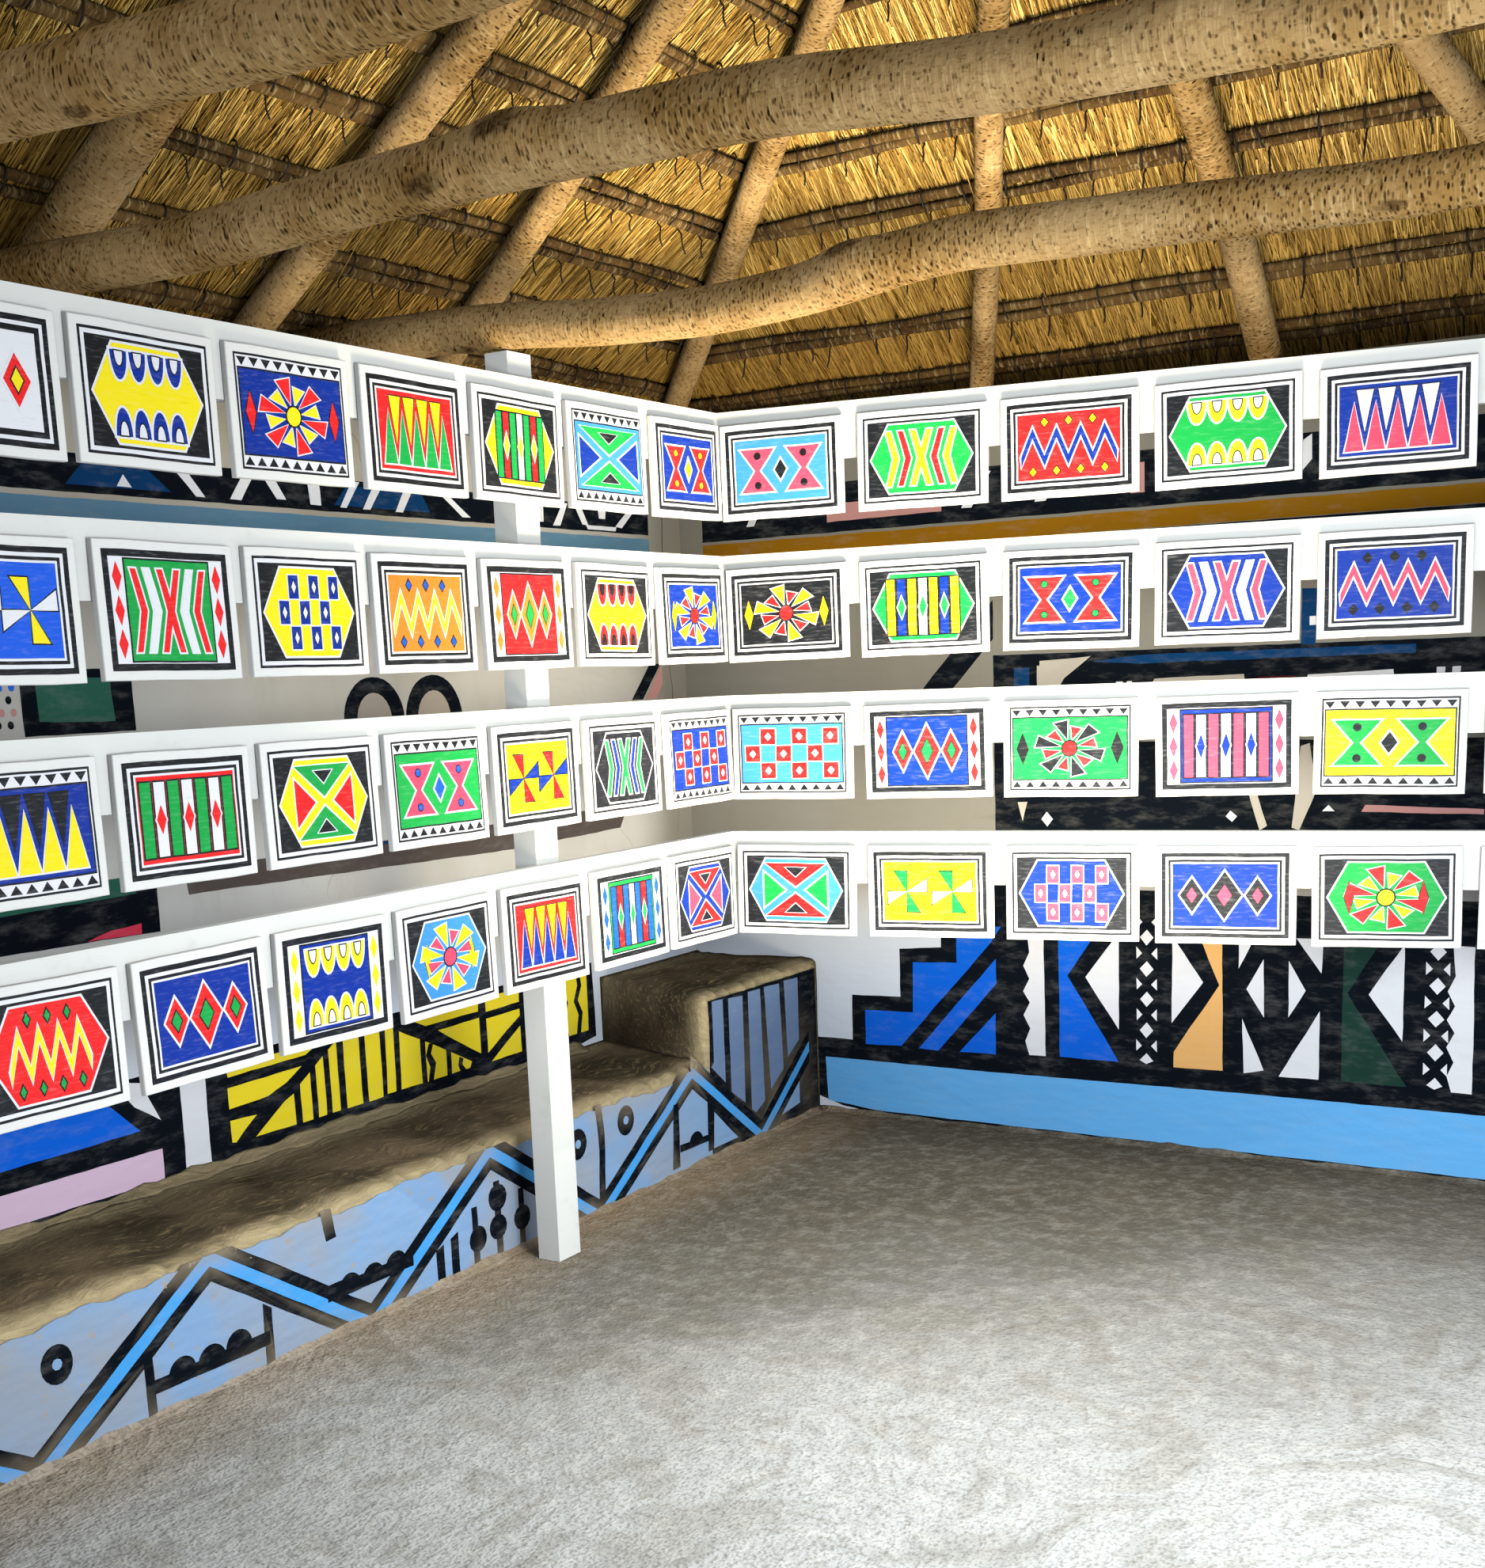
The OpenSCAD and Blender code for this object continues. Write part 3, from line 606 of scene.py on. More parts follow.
class Slope:
    """One slope of the roof: a point is the ridge's end or middle, plus a across, s down the
    slope and off square to it. off is 0 at the rafters' axes and top at the thatch's outside,
    which runs from s at head to s at cut."""

    def __init__(self, name, sizes):
        rise, run = sizes.rise, sizes.hip_run
        self.name = name
        side = name in ("back", "front")
        self.foot = sizes.half_w if side else run
        self.ridge = sizes.half_l - run if side else 0.0
        self.spread = run / sizes.half_w if side else sizes.half_w / run
        self.tilt = math.atan(rise / self.foot)
        turn = {"back": 90, "front": -90, "east": 0, "west": 180}[name]
        out = np.array([math.cos(math.radians(turn)), math.sin(math.radians(turn)), 0.0])
        self.across = np.cross(UP, out)
        self.down = out * math.cos(self.tilt) - UP * math.sin(self.tilt)
        self.normal = out * math.sin(self.tilt) + UP * math.cos(self.tilt)
        apex = sizes.wall_top + sizes.rafter_r / math.cos(math.atan(rise / sizes.half_w)) + rise
        start = 0.0 if side else sizes.half_l - run
        self.origin = out * start + UP * apex
        self.eave = (self.foot + sizes.eave_run * self.foot / sizes.half_w) / math.cos(self.tilt)
        layers = sizes.rafter_r + sizes.lath_d + sizes.thatch
        self.top = layers / math.cos(math.atan(rise / sizes.half_w)) * math.cos(self.tilt)
        self.head = -self.top * math.tan(self.tilt)
        self.cut = self.eave + self.head

    def half_width(self, s, off=0.0):
        """Half the slope's width at s, from hip to hip."""
        return self.ridge + (s * math.cos(self.tilt) + off * math.sin(self.tilt)) * self.spread

    def point(self, a, s, off):
        return (
            self.origin
            + np.asarray(a)[..., None] * self.across
            + np.asarray(s)[..., None] * self.down
            + np.asarray(off)[..., None] * self.normal
        )


def metres(name, description, default):
    """A length, for the panel."""
    return bpy.props.FloatProperty(
        name=name, description=description, default=default, unit="LENGTH"
    )


def two_metres(name, description, default):
    """Two lengths that go together."""
    return bpy.props.FloatVectorProperty(
        name=name, description=description, default=default, size=2, unit="LENGTH"
    )


def degrees(name, description, default):
    """An angle, whose default is given in degrees."""
    return bpy.props.FloatProperty(
        name=name, description=description, default=math.radians(default), subtype="ANGLE"
    )


def tone(name, description, code):
    """A colour, whose default is given as six hex digits."""
    return bpy.props.FloatVectorProperty(
        name=name, description=description, default=rgb(code)[:3], subtype="COLOR"
    )


class HutSizes(bpy.types.PropertyGroup):
    """Sizes shared by the pieces, in metres."""

    half_l: metres(
        "Half length", "From the middle to the inside of an end wall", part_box("east_wall")[0][0]
    )
    half_w: metres(
        "Half width", "From the middle to the inside of a long wall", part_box("back_wall")[0][1]
    )
    wall_top: metres("Wall top", "Height of the wall top at its inside face", 2.66)
    rise: metres("Roof rise", "Rise of the rafters from the wall to the ridge", 1.48)
    hip_run: metres("Hip run", "Plan distance from an end wall to the ridge's end", 1.87)
    rafter_r: metres("Rafter radius", "Radius of the solid rafters", 0.05)
    lath_d: metres("Lath diameter", "Diameter of the solid laths", 0.034)
    lath_pitch: metres("Lath pitch", "Distance between rows of laths", 0.23)
    lath_pair: metres("Lath pair", "Distance between the two laths of a row", 0.044)
    thatch: metres("Thatch", "Thickness of the thatch on the long sides", 0.18)
    eave_run: metres("Eave run", "From the inside of a long wall to the eave", 0.7)
    cap_w: metres("Cap width", "Width of the ridge cap down one side", 0.34)
    cap_t: metres("Cap thickness", "Thickness of the ridge cap", 0.06)
    straws: bpy.props.IntProperty(
        name="Straws", description="Straws on the underside of the back slope", default=26000
    )
    rack_corner: two_metres(
        "Rack corner", "Where the fronts of the two racks meet in plan", (2.395, 1.44)
    )
    rack_turn: degrees("End rack turn", "Turn of the end rack away from square", 9.8)
    rail_pitch: metres("Rail pitch", "Distance from one rail to the next", 0.435)
    board_top: metres("Board top", "Height of the highest boards' tops", 2.525)
    board_h: metres("Board height", "Height of a board", 0.288)
    board_t: metres("Board thickness", "Thickness of a board", 0.018)
    board_first: metres("First board", "From the rack corner to the first board's side", 0.0178)
    back_boards: two_metres(
        "Back boards", "Width of a board on the back rack, and their pitch", (0.368, 0.404)
    )
    end_boards: two_metres(
        "End boards", "Width of a board on the end rack, and their pitch", (0.402, 0.445)
    )


class HutColours(bpy.types.PropertyGroup):
    """Main colours of the hut, as linear red, green and blue."""

    plaster: tone("Plaster", "Limewashed mud plaster", "d0d1d1")
    earth: tone("Earth", "Smeared mud of the floor", "9fa1a1")
    bare_mud: tone("Bare mud", "Unpainted mud of the bench", "7a6a54")
    straw: tone("Straw", "Fresh thatching grass", "e2b356")
    bark: tone("Bark", "Pale bark of the poles", "a88a5e")
    rack: tone("Rack", "White paint of the rack", "e0e1dd")


def sizes():
    return bpy.context.scene.hut_sizes


def colour(name):
    return list(getattr(bpy.context.scene.hut_colours, name)) + [1.0]


def repaint(material, *nodes):
    """Gives CAD nodes that stay in sight a finished material."""
    for node in nodes:
        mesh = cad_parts[node].data
        mesh.materials.clear()
        mesh.materials.append(material)


# Materials


def straw_look(name, root, worn, share):
    """Straws: a tone for each straw, from deep brown to pale gold. worn greys patches of the
    whole mat."""
    look = Look(name, 0.6, 0.2, root)
    tone = look.attribute("tone")
    patch = look.noise(look.place(), 1.6, 3.0)
    look.tint(tone, colour("straw"))
    look.tint(tone.step(0.6, 0.95), rgb("f8dc8c"))
    look.tint(patch.step(0.38, 0.68) * share, worn)
    streak = look.noise(look.place(), 160.0, 1.0)
    look.tint(streak.step(0.5, 0.8) * 0.25, root)
    return look.finish()


def slab_look(name, stretch):
    """The thatch behind the loose straws: near-black brown, the painted shade deep in the gaps
    between straws, with paler streaks down the slope.
    """
    # Near-black brown: painted shade deep in the gaps between straws.
    look = Look(name, 0.9, shade=rgb("241708"))
    fine = look.noise(look.stretch(look.place(), stretch), 1.0, 4.0, 0.7)
    look.tint(fine.step(0.35, 0.7), rgb("a47a33"))
    return look.finish(fine, 0.8, 0.01)


def bark_look(name, base, shadow, fleck):
    """Bark: tan with greyer patches and short dark dashes across the pole, brown at knots."""
    look = Look(name, 0.75, shade=base)
    uv = look.uv("along")
    broad = look.noise(look.place(), 4.0, 3.0, 0.6)
    rings = look.noise(look.stretch(uv, (12.0, 110.0, 1.0)), 1.0, 2.0, 0.65, space="2D")
    grain = look.noise(look.stretch(uv, (90.0, 45.0, 1.0)), 1.0, 2.0, 0.7, space="2D")
    look.tint(broad.step(0.35, 0.68), shadow)
    look.tint(rings.step(0.5, 0.8) * 0.35, rgb("e0c792"))
    look.tint(grain.step(0.45, 0.75) * 0.45, rgb("6e5028"))
    drift = look.noise(uv, 24.0, 1.0, out="Color", space="2D")
    wavy = look.shift(uv, look.stretch(drift, (0.012, 0.006, 0.0)))
    marks = look.cells(look.stretch(wavy, (42.0, 92.0, 1.0)), 1.0, space="2D")
    dash = (1.0 - marks.step(0.12, 0.3)) * (grain * 0.4 + broad * 0.6).step(0.40, 0.50)
    marks = look.cells(look.stretch(wavy, (24.0, 60.0, 1.0)), 1.0, space="2D")
    longer = (1.0 - marks.step(0.1, 0.24)) * (rings * 0.5 + broad * 0.5).step(0.46, 0.56)
    look.tint((dash * 0.8 + longer) * fleck, rgb("2c1b09"))
    knot = look.attribute("knot")
    look.tint(knot.step(0.05, 0.6) * (grain * 0.8 + 0.3), rgb("2a1a0c"))
    return look.finish(rings * 0.6 + grain * 0.5, 0.7, 0.004)


def plain_wood_look(name, base, dark):
    """Weathered wood: streaks along the grain and darker patches."""
    look = Look(name, 0.8, shade=dark)
    place = look.place()
    streak = look.noise(look.stretch(place, (4.0, 60.0, 60.0)), 1.0, 4.0, 0.6)
    patch = look.noise(place, 6.0, 3.0)
    look.tint(streak.step(0.3, 0.75), base)
    look.tint(patch.step(0.45, 0.8) * 0.5, dark)
    return look.finish(streak, 0.6, 0.003)


def plaster_height(look, place):
    """Hand-smeared plaster: trowel strokes and fine grit."""
    smear = look.noise(look.stretch(place, (3.0, 3.0, 9.0)), 1.3, 2.0, 0.7)
    grit = look.noise(place, 60.0, 1.0, 0.7)
    return smear * 0.9 + grit * 0.12


def wall_look():
    """Limewashed plaster: off-white with grey patches and hairline cracks. Inside, painted
    daylight makes it bluish white low down; it darkens under the roof with soot and painted
    shade, and greys on the end wall from the lowest boards up with painted shade of the rack.
    Outside mud has splashed on its foot."""
    look = Look("limewashed_mud", 0.92, shade=colour("plaster"))
    place = look.place()
    z = look.axis(place, "Z")
    patch = look.noise(place, 1.7, 3.0, 0.6)
    look.tint(patch.step(0.4, 0.7) * 0.5, rgb("bfbab0"))
    stain = look.noise(look.stretch(place, (1.0, 1.0, 0.4)), 5.0, 4.0, 0.7)
    look.tint(stain.step(0.5, 0.8) * 0.35, rgb("a29a8a"))
    past_inside = 0.1
    away = look.vectors("ABSOLUTE", place)
    outside = (look.axis(away, "X") > sizes().half_l + past_inside) + (
        look.axis(away, "Y") > sizes().half_w + past_inside
    )
    inside = 1.0 - outside
    # Darker high up: partly soot, partly painted shade under the roof and behind the rack.
    soot_and_shade = z.step(0.9, 2.2) * inside * (patch * 0.6 + 0.4)
    look.tint(soot_and_shade * 0.85, rgb("9a8f76"))
    # Painted shade of the rack and its boards on the end wall, from the lowest boards up.
    end = look.axis(place, "X").step(2.9, 3.2) * z.step(0.85, 1.1)
    look.tint(end * inside * 0.8, rgb("77746b"))
    # Painted daylight: bluish white low on the inner walls, as if lit from the doorway.
    painted_daylight = (1.0 - z.step(0.75, 1.0)) * inside
    look.tint(painted_daylight * 0.8, rgb("dbe3f0"))
    splash = (1.0 - z.step(0.1, 0.55)) * stain.step(0.3, 0.55)
    look.tint(splash * outside * 0.8, rgb("8a745a"))
    drift = look.stretch(look.noise(place, 4.0, 1.0, out="Color"), (0.3,) * 3)
    crack = look.cells(look.shift(place, drift), 1.7, feature="DISTANCE_TO_EDGE")
    line = (1.0 - crack.step(0.0, 0.004)) * look.noise(place, 1.3, 1.0).step(0.56, 0.62)
    look.tint(line * 0.45, rgb("6c6558"))
    return look.finish(plaster_height(look, place), 0.6, 0.012)


def stroke_fan(look, spot, scale):
    """Hand strokes round the middle of each cell, in polar places: noise whose first place is the
    reach from the middle, 34 strokes to a metre, and whose second is 2.6 times the bearing.
    Returns those places and the noise."""
    middle = look.cells(spot, scale, "Position", space="2D")
    arm = look.stretch(look.vectors("SUBTRACT", spot, middle), (1.0, 1.0, 0.0))
    reach = look.vectors("LENGTH", arm, out="Value")
    bearing = reach.maths("ARCTAN2", look.axis(arm, "Y"), look.axis(arm, "X"))
    along = reach * 34.0 + look.axis(middle, "X")
    polar = look.node("ShaderNodeCombineXYZ", inputs={0: along, 1: bearing * 2.6})
    return polar, look.noise(polar, 1.0, 2.0, 0.65, space="2D")


def floor_look(name):
    """Smeared floor: arms of hand strokes turned round scattered centres, each broken along its
    bearing, under coarse grit. It is paler by the doorway and darker towards the far corner,
    a painted falloff of the doorway's light, and tan along the bench."""
    look = Look(name, 0.93, shade=colour("earth"))
    place = look.place()
    drift = look.stretch(look.noise(place, 1.4, 2.0, out="Color", space="2D"), (0.5, 0.5, 0.0))
    spot = look.shift(place, drift)
    polar, wide = stroke_fan(look, look.shift(spot, (0.0, 0.0, 0.0)), 0.95)
    sweeps = look.noise(look.stretch(polar, (0.22, 0.5, 0.0)), 1.0, 2.0, space="2D")
    _, narrow = stroke_fan(look, look.shift(spot, (3.1, 1.7, 0.0)), 1.25)
    choice = look.noise(place, 0.9, 1.0, space="2D").step(0.45, 0.55)
    smear = wide * choice + narrow * (1.0 - choice)
    broad = look.noise(place, 0.8, 3.0, space="2D")
    fine = look.noise(place, 80.0, 1.0, 0.8, space="2D")
    lumps = look.noise(place, 15.0, 3.0, 0.8, space="2D")
    x, y = look.axis(place, "X"), look.axis(place, "Y")
    # Painted falloff of the doorway's light: paler by the doorway, darker towards the far corner.
    away = (x - 0.4) * 0.42 + (y + 1.2) * 0.3 + (broad - 0.5) * 0.8
    look.tint(away.step(0.25, 1.45), rgb("565147"))
    look.tint((y + broad * 0.2).step(1.35, 1.75) * 0.5, rgb("ab9272"))
    look.tint(sweeps.step(0.5, 0.66) * 0.3, rgb("6d6658"))
    look.tint(smear.step(0.5, 0.72) * 0.26, rgb("5f594d"))
    look.tint(lumps.step(0.4, 0.75) * 0.15, rgb("dcdad2"))
    look.tint((1.0 - lumps.step(0.25, 0.38)) * 0.3, rgb("5e5850"))
    look.tint((1.0 - fine.step(0.3, 0.5)) * 0.45, rgb("6c665c"))
    return look.finish(lumps * 0.8 + smear * 0.22 + fine * 0.3, 0.9, 0.016)


def bench_look():
    """Bare mud of the bench: brown, fibrous and crumbling, darker in patches, and pale and dry
    along its front edge and its foot at the wall."""
    look = Look("bare_mud", 0.95, shade=colour("bare_mud"))
    place = look.place()
    drift = look.stretch(look.noise(place, 3.0, 2.0, out="Color"), (0.25, 0.25, 0.25))
    fibre = look.noise(look.stretch(look.shift(place, drift), (7.0, 60.0, 60.0)), 1.0, 5.0, 0.7)
    patch = look.noise(place, 3.5, 4.0)
    grit = look.noise(place, 80.0, 3.0, 0.7)
    look.tint(patch.step(0.35, 0.65), rgb("4a4234"))
    look.tint(fibre.step(0.5, 0.72) * 0.8, rgb("a8926b"))
    look.tint(grit.step(0.52, 0.75) * 0.5, rgb("3a3024"))
    y = look.axis(place, "Y")
    edge = 1.0 - (y + patch * 0.08).step(1.70, 1.80)
    rim = edge + (y + patch * 0.12).step(2.12, 2.22) * 0.5
    look.tint(rim * (fibre * 0.9 + 0.2), rgb("cdbb92"))
    return look.finish(fibre * 1.0 + grit * 0.4, 0.9, 0.012)


def rack_look():
    """White paint on planed wood: faint brush lines and grey scuffs."""
    look = Look("white_rack_paint", 0.42, 0.35, colour("rack"))
    place = look.place()
    brush = look.noise(look.stretch(place, (6.0, 6.0, 90.0)), 1.0, 3.0, 0.5)
    scuff = look.noise(place, 7.0, 6.0, 0.7)
    look.tint(scuff.step(0.55, 0.75) * 0.35, rgb("c3c2ba"))
    look.tint(brush.step(0.5, 0.9) * 0.2, rgb("cfd0cb"))
    return look.finish(brush, 0.25, 0.001)


def canvas_look():
    """Painted canvas: the paint's own colour with streaks of the brush over a fine weave."""
    look = Look("painted_canvas", 0.5, 0.25)
    place = look.place()
    look.shade = look.attribute("paint", "Color")
    stroke = look.noise(look.stretch(place, (24.0, 24.0, 150.0)), 1.0, 2.0, 0.7)
    look.tint(stroke.step(0.48, 0.85) * 0.11, rgb("e8e8f0"))
    look.tint((1.0 - stroke.step(0.2, 0.45)) * 0.12, rgb("101018"))
    return look.finish(look.noise(place, 500.0, 1.0), 0.3, 0.0006)


def paint_look(name, under, wear):
    """Wall paint: the paint's own colour, streaked by the brush and chipped down to under where
    it is worn."""
    look = Look(name, 0.8)
    place = look.place()
    look.shade = look.attribute("paint", "Color")
    smear = look.noise(look.stretch(place, (3.0, 3.0, 9.0)), 3.0, 4.0, 0.7)
    look.tint(smear.step(0.46, 0.8) * 0.12, rgb("b9b8b4"))
    chips = look.noise(place, 26.0, 4.0, 0.75)
    thin = look.noise(place, 4.0, 2.0)
    worn = look.attribute("worn")
    look.tint(worn * thin.step(0.36, 0.6) * 0.75, under)
    bare = chips + worn * 0.2 + thin * 0.12 * wear
    look.tint(bare.step(0.75, 0.80) * 0.8, under)
    return look.finish(plaster_height(look, place), 0.6, 0.012)



# Operators, one for each piece or group of like pieces


class HutOperator:
    """What the operators share."""

    bl_options = {"REGISTER"}


class HUT_OT_walls(HutOperator, bpy.types.Operator):
    """Limewash on the mud walls"""

    bl_idname = "hut.walls"
    bl_label = "Walls"

    def execute(self, context):
        repaint(
            wall_look(), "back_wall", "east_wall", "west_wall", "front_wall_west",
            "front_wall_east", "front_wall_over_door",
        )
        repaint(plain_wood_look("lintel_board", rgb("7c6244"), rgb("3a2a1a")), "door_lintel")
        return {"FINISHED"}


class HUT_OT_floor(HutOperator, bpy.types.Operator):
    """The smeared mud floor"""

    bl_idname = "hut.floor"
    bl_label = "Floor"

    def execute(self, context):
        repaint(floor_look("smeared_earth"), "floor")
        return {"FINISHED"}


class HUT_OT_murals(HutOperator, bpy.types.Operator):
    """Painted bands, bars and blocks on the inside of the walls. Past the photo's edge they
    repeat"""

    bl_idname = "hut.murals"
    bl_label = "Wall paint"

    hand = 0.0015
    repeat = 1.42
    repeat_back = 2.5
    seen = 2.61
    lattice = (0.364, -0.573)

    def execute(self, context):
        look = paint_look("wall_paint", rgb("b3aa9a"), 0.0)
        self.east(look)
        self.back(look)
        skirting = (
            ("black", 1, -1, 104, 1, 104, 1, 382, -1, 382),
            ("sky", 2, -1, 113, 1, 113, 1, 306, -1, 306),
        )
        half_l, half_w = sizes().half_l, sizes().half_w
        for side, reach, middle, right in (
            ("west", half_w, (-half_l, 0, 0), (0, 1, 0)),
            ("front_east", 1.36, (1.93, -half_w, 0), (-1, 0, 0)),
            ("front_west", 1.36, (-1.93, -half_w, 0), (-1, 0, 0)),
        ):
            sheet = Paint(self.hand, 0.06)
            sheet.plane(middle, right, UP)
            for tint, layer, *numbers in skirting:
                corners = corners_of(numbers) * (reach - 0.005, 0.001)
                sheet.shape(tint, corners, layer)
            sheet.put(f"paint_{side}_wall", look, "mud_wall")
        return {"FINISHED"}

    def east(self, look):
        sheet = Paint(self.hand, 0.05)
        sheet.plane((sizes().half_l, 0, 0), (0, -1, 0), UP)
        for rows in (EAST_BANDS, EAST_LOW, EAST_MID, EAST_UP):
            sheet.table(rows, -1)
        for shift in (0.0, -self.repeat):
            sheet.table(EAST_COLUMNS, -1, shift)
            for middle in self.lattice:
                self.diamonds(sheet, -middle - shift)
        sheet.put("paint_east_wall", look, "mud_wall")

    def diamonds(self, sheet, x):
        """A lattice column: lozenges down its middle and half lozenges down its sides."""
        for z in np.arange(0.40, 0.83, 0.107):
            low, high = max(z - 0.027, 0.388), z + 0.027
            sheet.shape("white", (x - 0.024, z, x, low, x + 0.024, z, x, high), 2)
            for side in (-1, 1):
                edge, tip = x + side * 0.036, x + side * 0.016
                sheet.shape("white", (edge, z + 0.033, tip, z + 0.053, edge, z + 0.074), 2)

    def back(self, look):
        sheet = Paint(self.hand, 0.05)
        sheet.plane((0, sizes().half_w, 0), (1, 0, 0), UP)
        sheet.table(BACK_BANDS)
        for shift in (0.0, -self.repeat_back):
            limit = 1000 * self.seen if shift else math.inf
            for rows in (BACK_UP, BACK_LOW, BACK_MID):
                sheet.table([r for r in rows if max(r[2::2]) < limit], 1, shift)
            for x in (1.585, 1.855):
                sheet.shape("black", arc(x + shift, 1.665, 0.132, 0.131, 0, 180, 17), 1)
                sheet.shape("clay", arc(x + shift, 1.66, 0.076, 0.088, 0, 180, 13), 2)
        places = np.array([(i, j) for i in range(8) for j in range(4)])
        for (i, j), tint in zip(places, 9 * ("black", "pink_dull", "black", "blue")):
            x, z = 0.32 - 0.034 * i + 0.012 * (j % 2), 1.71 + 0.03 * j
            sheet.shape(tint, arc(x, z, 0.009, 0.010, count=9), 1)
        crack = np.linspace(2.45, 1.17, 40)
        wander = 3.19 - 0.02 * np.sin(crack * 3.1)
        wander = wander + 0.007 * np.sin(crack * 17) + 0.004 * np.sin(crack * 41)
        thick = 0.0016 + 0.0012 * np.sin(crack * 9)
        sides = np.concatenate(
            [np.stack([wander - thick, crack], 1), np.stack([wander + thick, crack], 1)[::-1]]
        )
        sheet.shape("crack", sides, 1)
        sheet.put("paint_back_wall", look, "mud_wall")


class HUT_OT_bench(HutOperator, bpy.types.Operator):
    """The worn mud bench, its raised end block, their paint and the mud smeared along the floor"""

    bl_idname = "hut.bench"
    bl_label = "Bench"

    front = 1.66
    top = 0.455
    block_top = 0.69
    block_start = 2.51
    block_round = 0.035
    floor_top = 0.1
    bend = 0.0195
    skew = 0.14
    seen_from = -0.45
    # The zigzag's corners, then the rings' places, heights and radii, and the humps' with the
    # bearing where each arc ends
    turns = ((-3.3625, 0.08), (-2.8375, 0.43), (-2.3125, 0.08), (-1.7875, 0.43), (-1.2625, 0.08),
             (-0.7375, 0.43), (-0.2125, 0.08), (0.3125, 0.43), (0.8375, 0.08), (1.356, 0.43),
             (1.87, 0.08), (2.42, 0.432), (2.86, 0.1), (3.22, 0.36))
    rings = ((-0.129, 0.3225, 0.042), (1.7725, 0.3425, 0.045), (2.029, 0.3575, 0.045))
    humps = ((0.206, 0.178, 0.042, 180), (0.296, 0.176, 0.042, 180), (0.381, 0.182, 0.042, 180),
             (0.769, 0.205, 0.042, 180), (0.856, 0.205, 0.042, 180), (0.944, 0.210, 0.042, 180),
             (1.284, 0.185, 0.038, 360), (1.375, 0.195, 0.038, 360), (1.379, 0.2825, 0.040, 360),
             (1.485, 0.1925, 0.038, 360), (2.431, 0.180, 0.042, 180))

    def execute(self, context):
        mud = bench_look()
        half_l, half_w = sizes().half_l, sizes().half_w
        self.mound(
            "mud_bench", -half_l, self.block_start, self.top, 0.0, (0, self.skew), mud, "bench"
        )
        self.mound(
            "mud_end_block", self.block_start, half_l, self.block_top, self.block_round,
            (self.skew, 0), mud, "bench_end_block",
        )
        self.paint()
        lines = (
            ("bench", (-half_l, self.front), (half_l, self.front), (0, -1), 0.014),
            ("east", (half_l, self.front), (half_l, -half_w), (-1, 0), 0.012),
            ("west", (-half_l, -half_w), (-half_l, self.front), (1, 0), 0.016),
            ("front_west", (-0.55, -half_w), (-half_l, -half_w), (0, 1), 0.016),
            ("front_east", (half_l, -half_w), (0.55, -half_w), (0, 1), 0.016),
            ("bench_back", (-half_l, half_w), (self.block_start, half_w), (0, -1), 0.02),
        )
        smear = floor_look("smeared_foot")
        for name, start, end, out, high in lines:
            base, look = (self.top, mud) if name == "bench_back" else (self.floor_top, smear)
            self.foot(name, start, end, out, high, base, look)
        return {"FINISHED"}

    def mound(self, name, x0, x1, top, free, skew, look, node):
        """Mud between two places along X: a section with a worn round front edge, whose height
        and front drop by a quarter circle near a free end. Waves of many lengths roughen it.
        skew is how far its start and its end lean along X from the front to the wall."""
        step = 0.035
        corner = x0 + step * (1 - np.cos(np.linspace(0, 1.57, 7)))
        x = np.unique(np.concatenate([np.linspace(x0, x1, int((x1 - x0) / step)), corner]))
        back, front, low, edge = sizes().half_w, self.front, 0.097, 0.028
        bow = np.linspace(0, math.pi / 2, 7)
        y = np.concatenate([
            np.full(3, back), np.linspace(back - 0.02, front + edge, 16)[:-1],
            front + edge - edge * np.sin(bow), np.full(8, front),
        ])
        z = np.concatenate([
            np.linspace(low, top, 3), np.full(15, top), top - edge + edge * np.cos(bow),
            np.linspace(top - edge, low, 9)[1:],
        ])
        inset = np.clip(free - (x - x0), 0, free)
        inset = free - np.sqrt(np.clip(free**2 - inset**2, 0, None))
        on_top = (z > top - edge * 1.01) & (y < back - 0.001)
        at_front = y < front + edge * 1.01
        gx, gy = x[:, None], y[None]
        rough = (
            0.45 * np.sin(9 * gx + 5 * gy) * np.sin(4 * gx - 7 * gy)
            + 0.3 * np.sin(31 * gx + 11 * gy) * np.sin(19 * gy - 13 * gx)
            + 0.2 * np.sin(71 * gx + 1.5 * np.sin(57 * gy)) + 0.12 * np.sin(140 * gx + 90 * gy)
        )
        crumble = np.sin(47 * gx) * np.sin(23 * gx + 1) + 0.6 * np.sin(101 * gx)
        height = z[None] + on_top * (rough * 0.009 - 0.006 - inset[:, None])
        height = height - (on_top & at_front) * 0.006 * (1 + crumble)
        above_bench = z[None] > self.top + 0.01
        depth = y[None] + (at_front & (z > top - 0.03)) * (0.004 * (1 + crumble))
        depth = depth + np.where(above_bench, inset[:, None] * at_front, 0)
        depth = depth + at_front * 0.0012 * (1 + np.sin(15 * gx + 20 * z[None]))
        share = (gx - x0) / (x1 - x0)
        lean = (skew[0] * (1 - share) + skew[1] * share) * (depth - front) / (back - front)
        points = np.stack([gx + lean, depth, height], axis=-1)
        put_piece(name, points, skin(*height.shape), look, "mud_bench", [node])

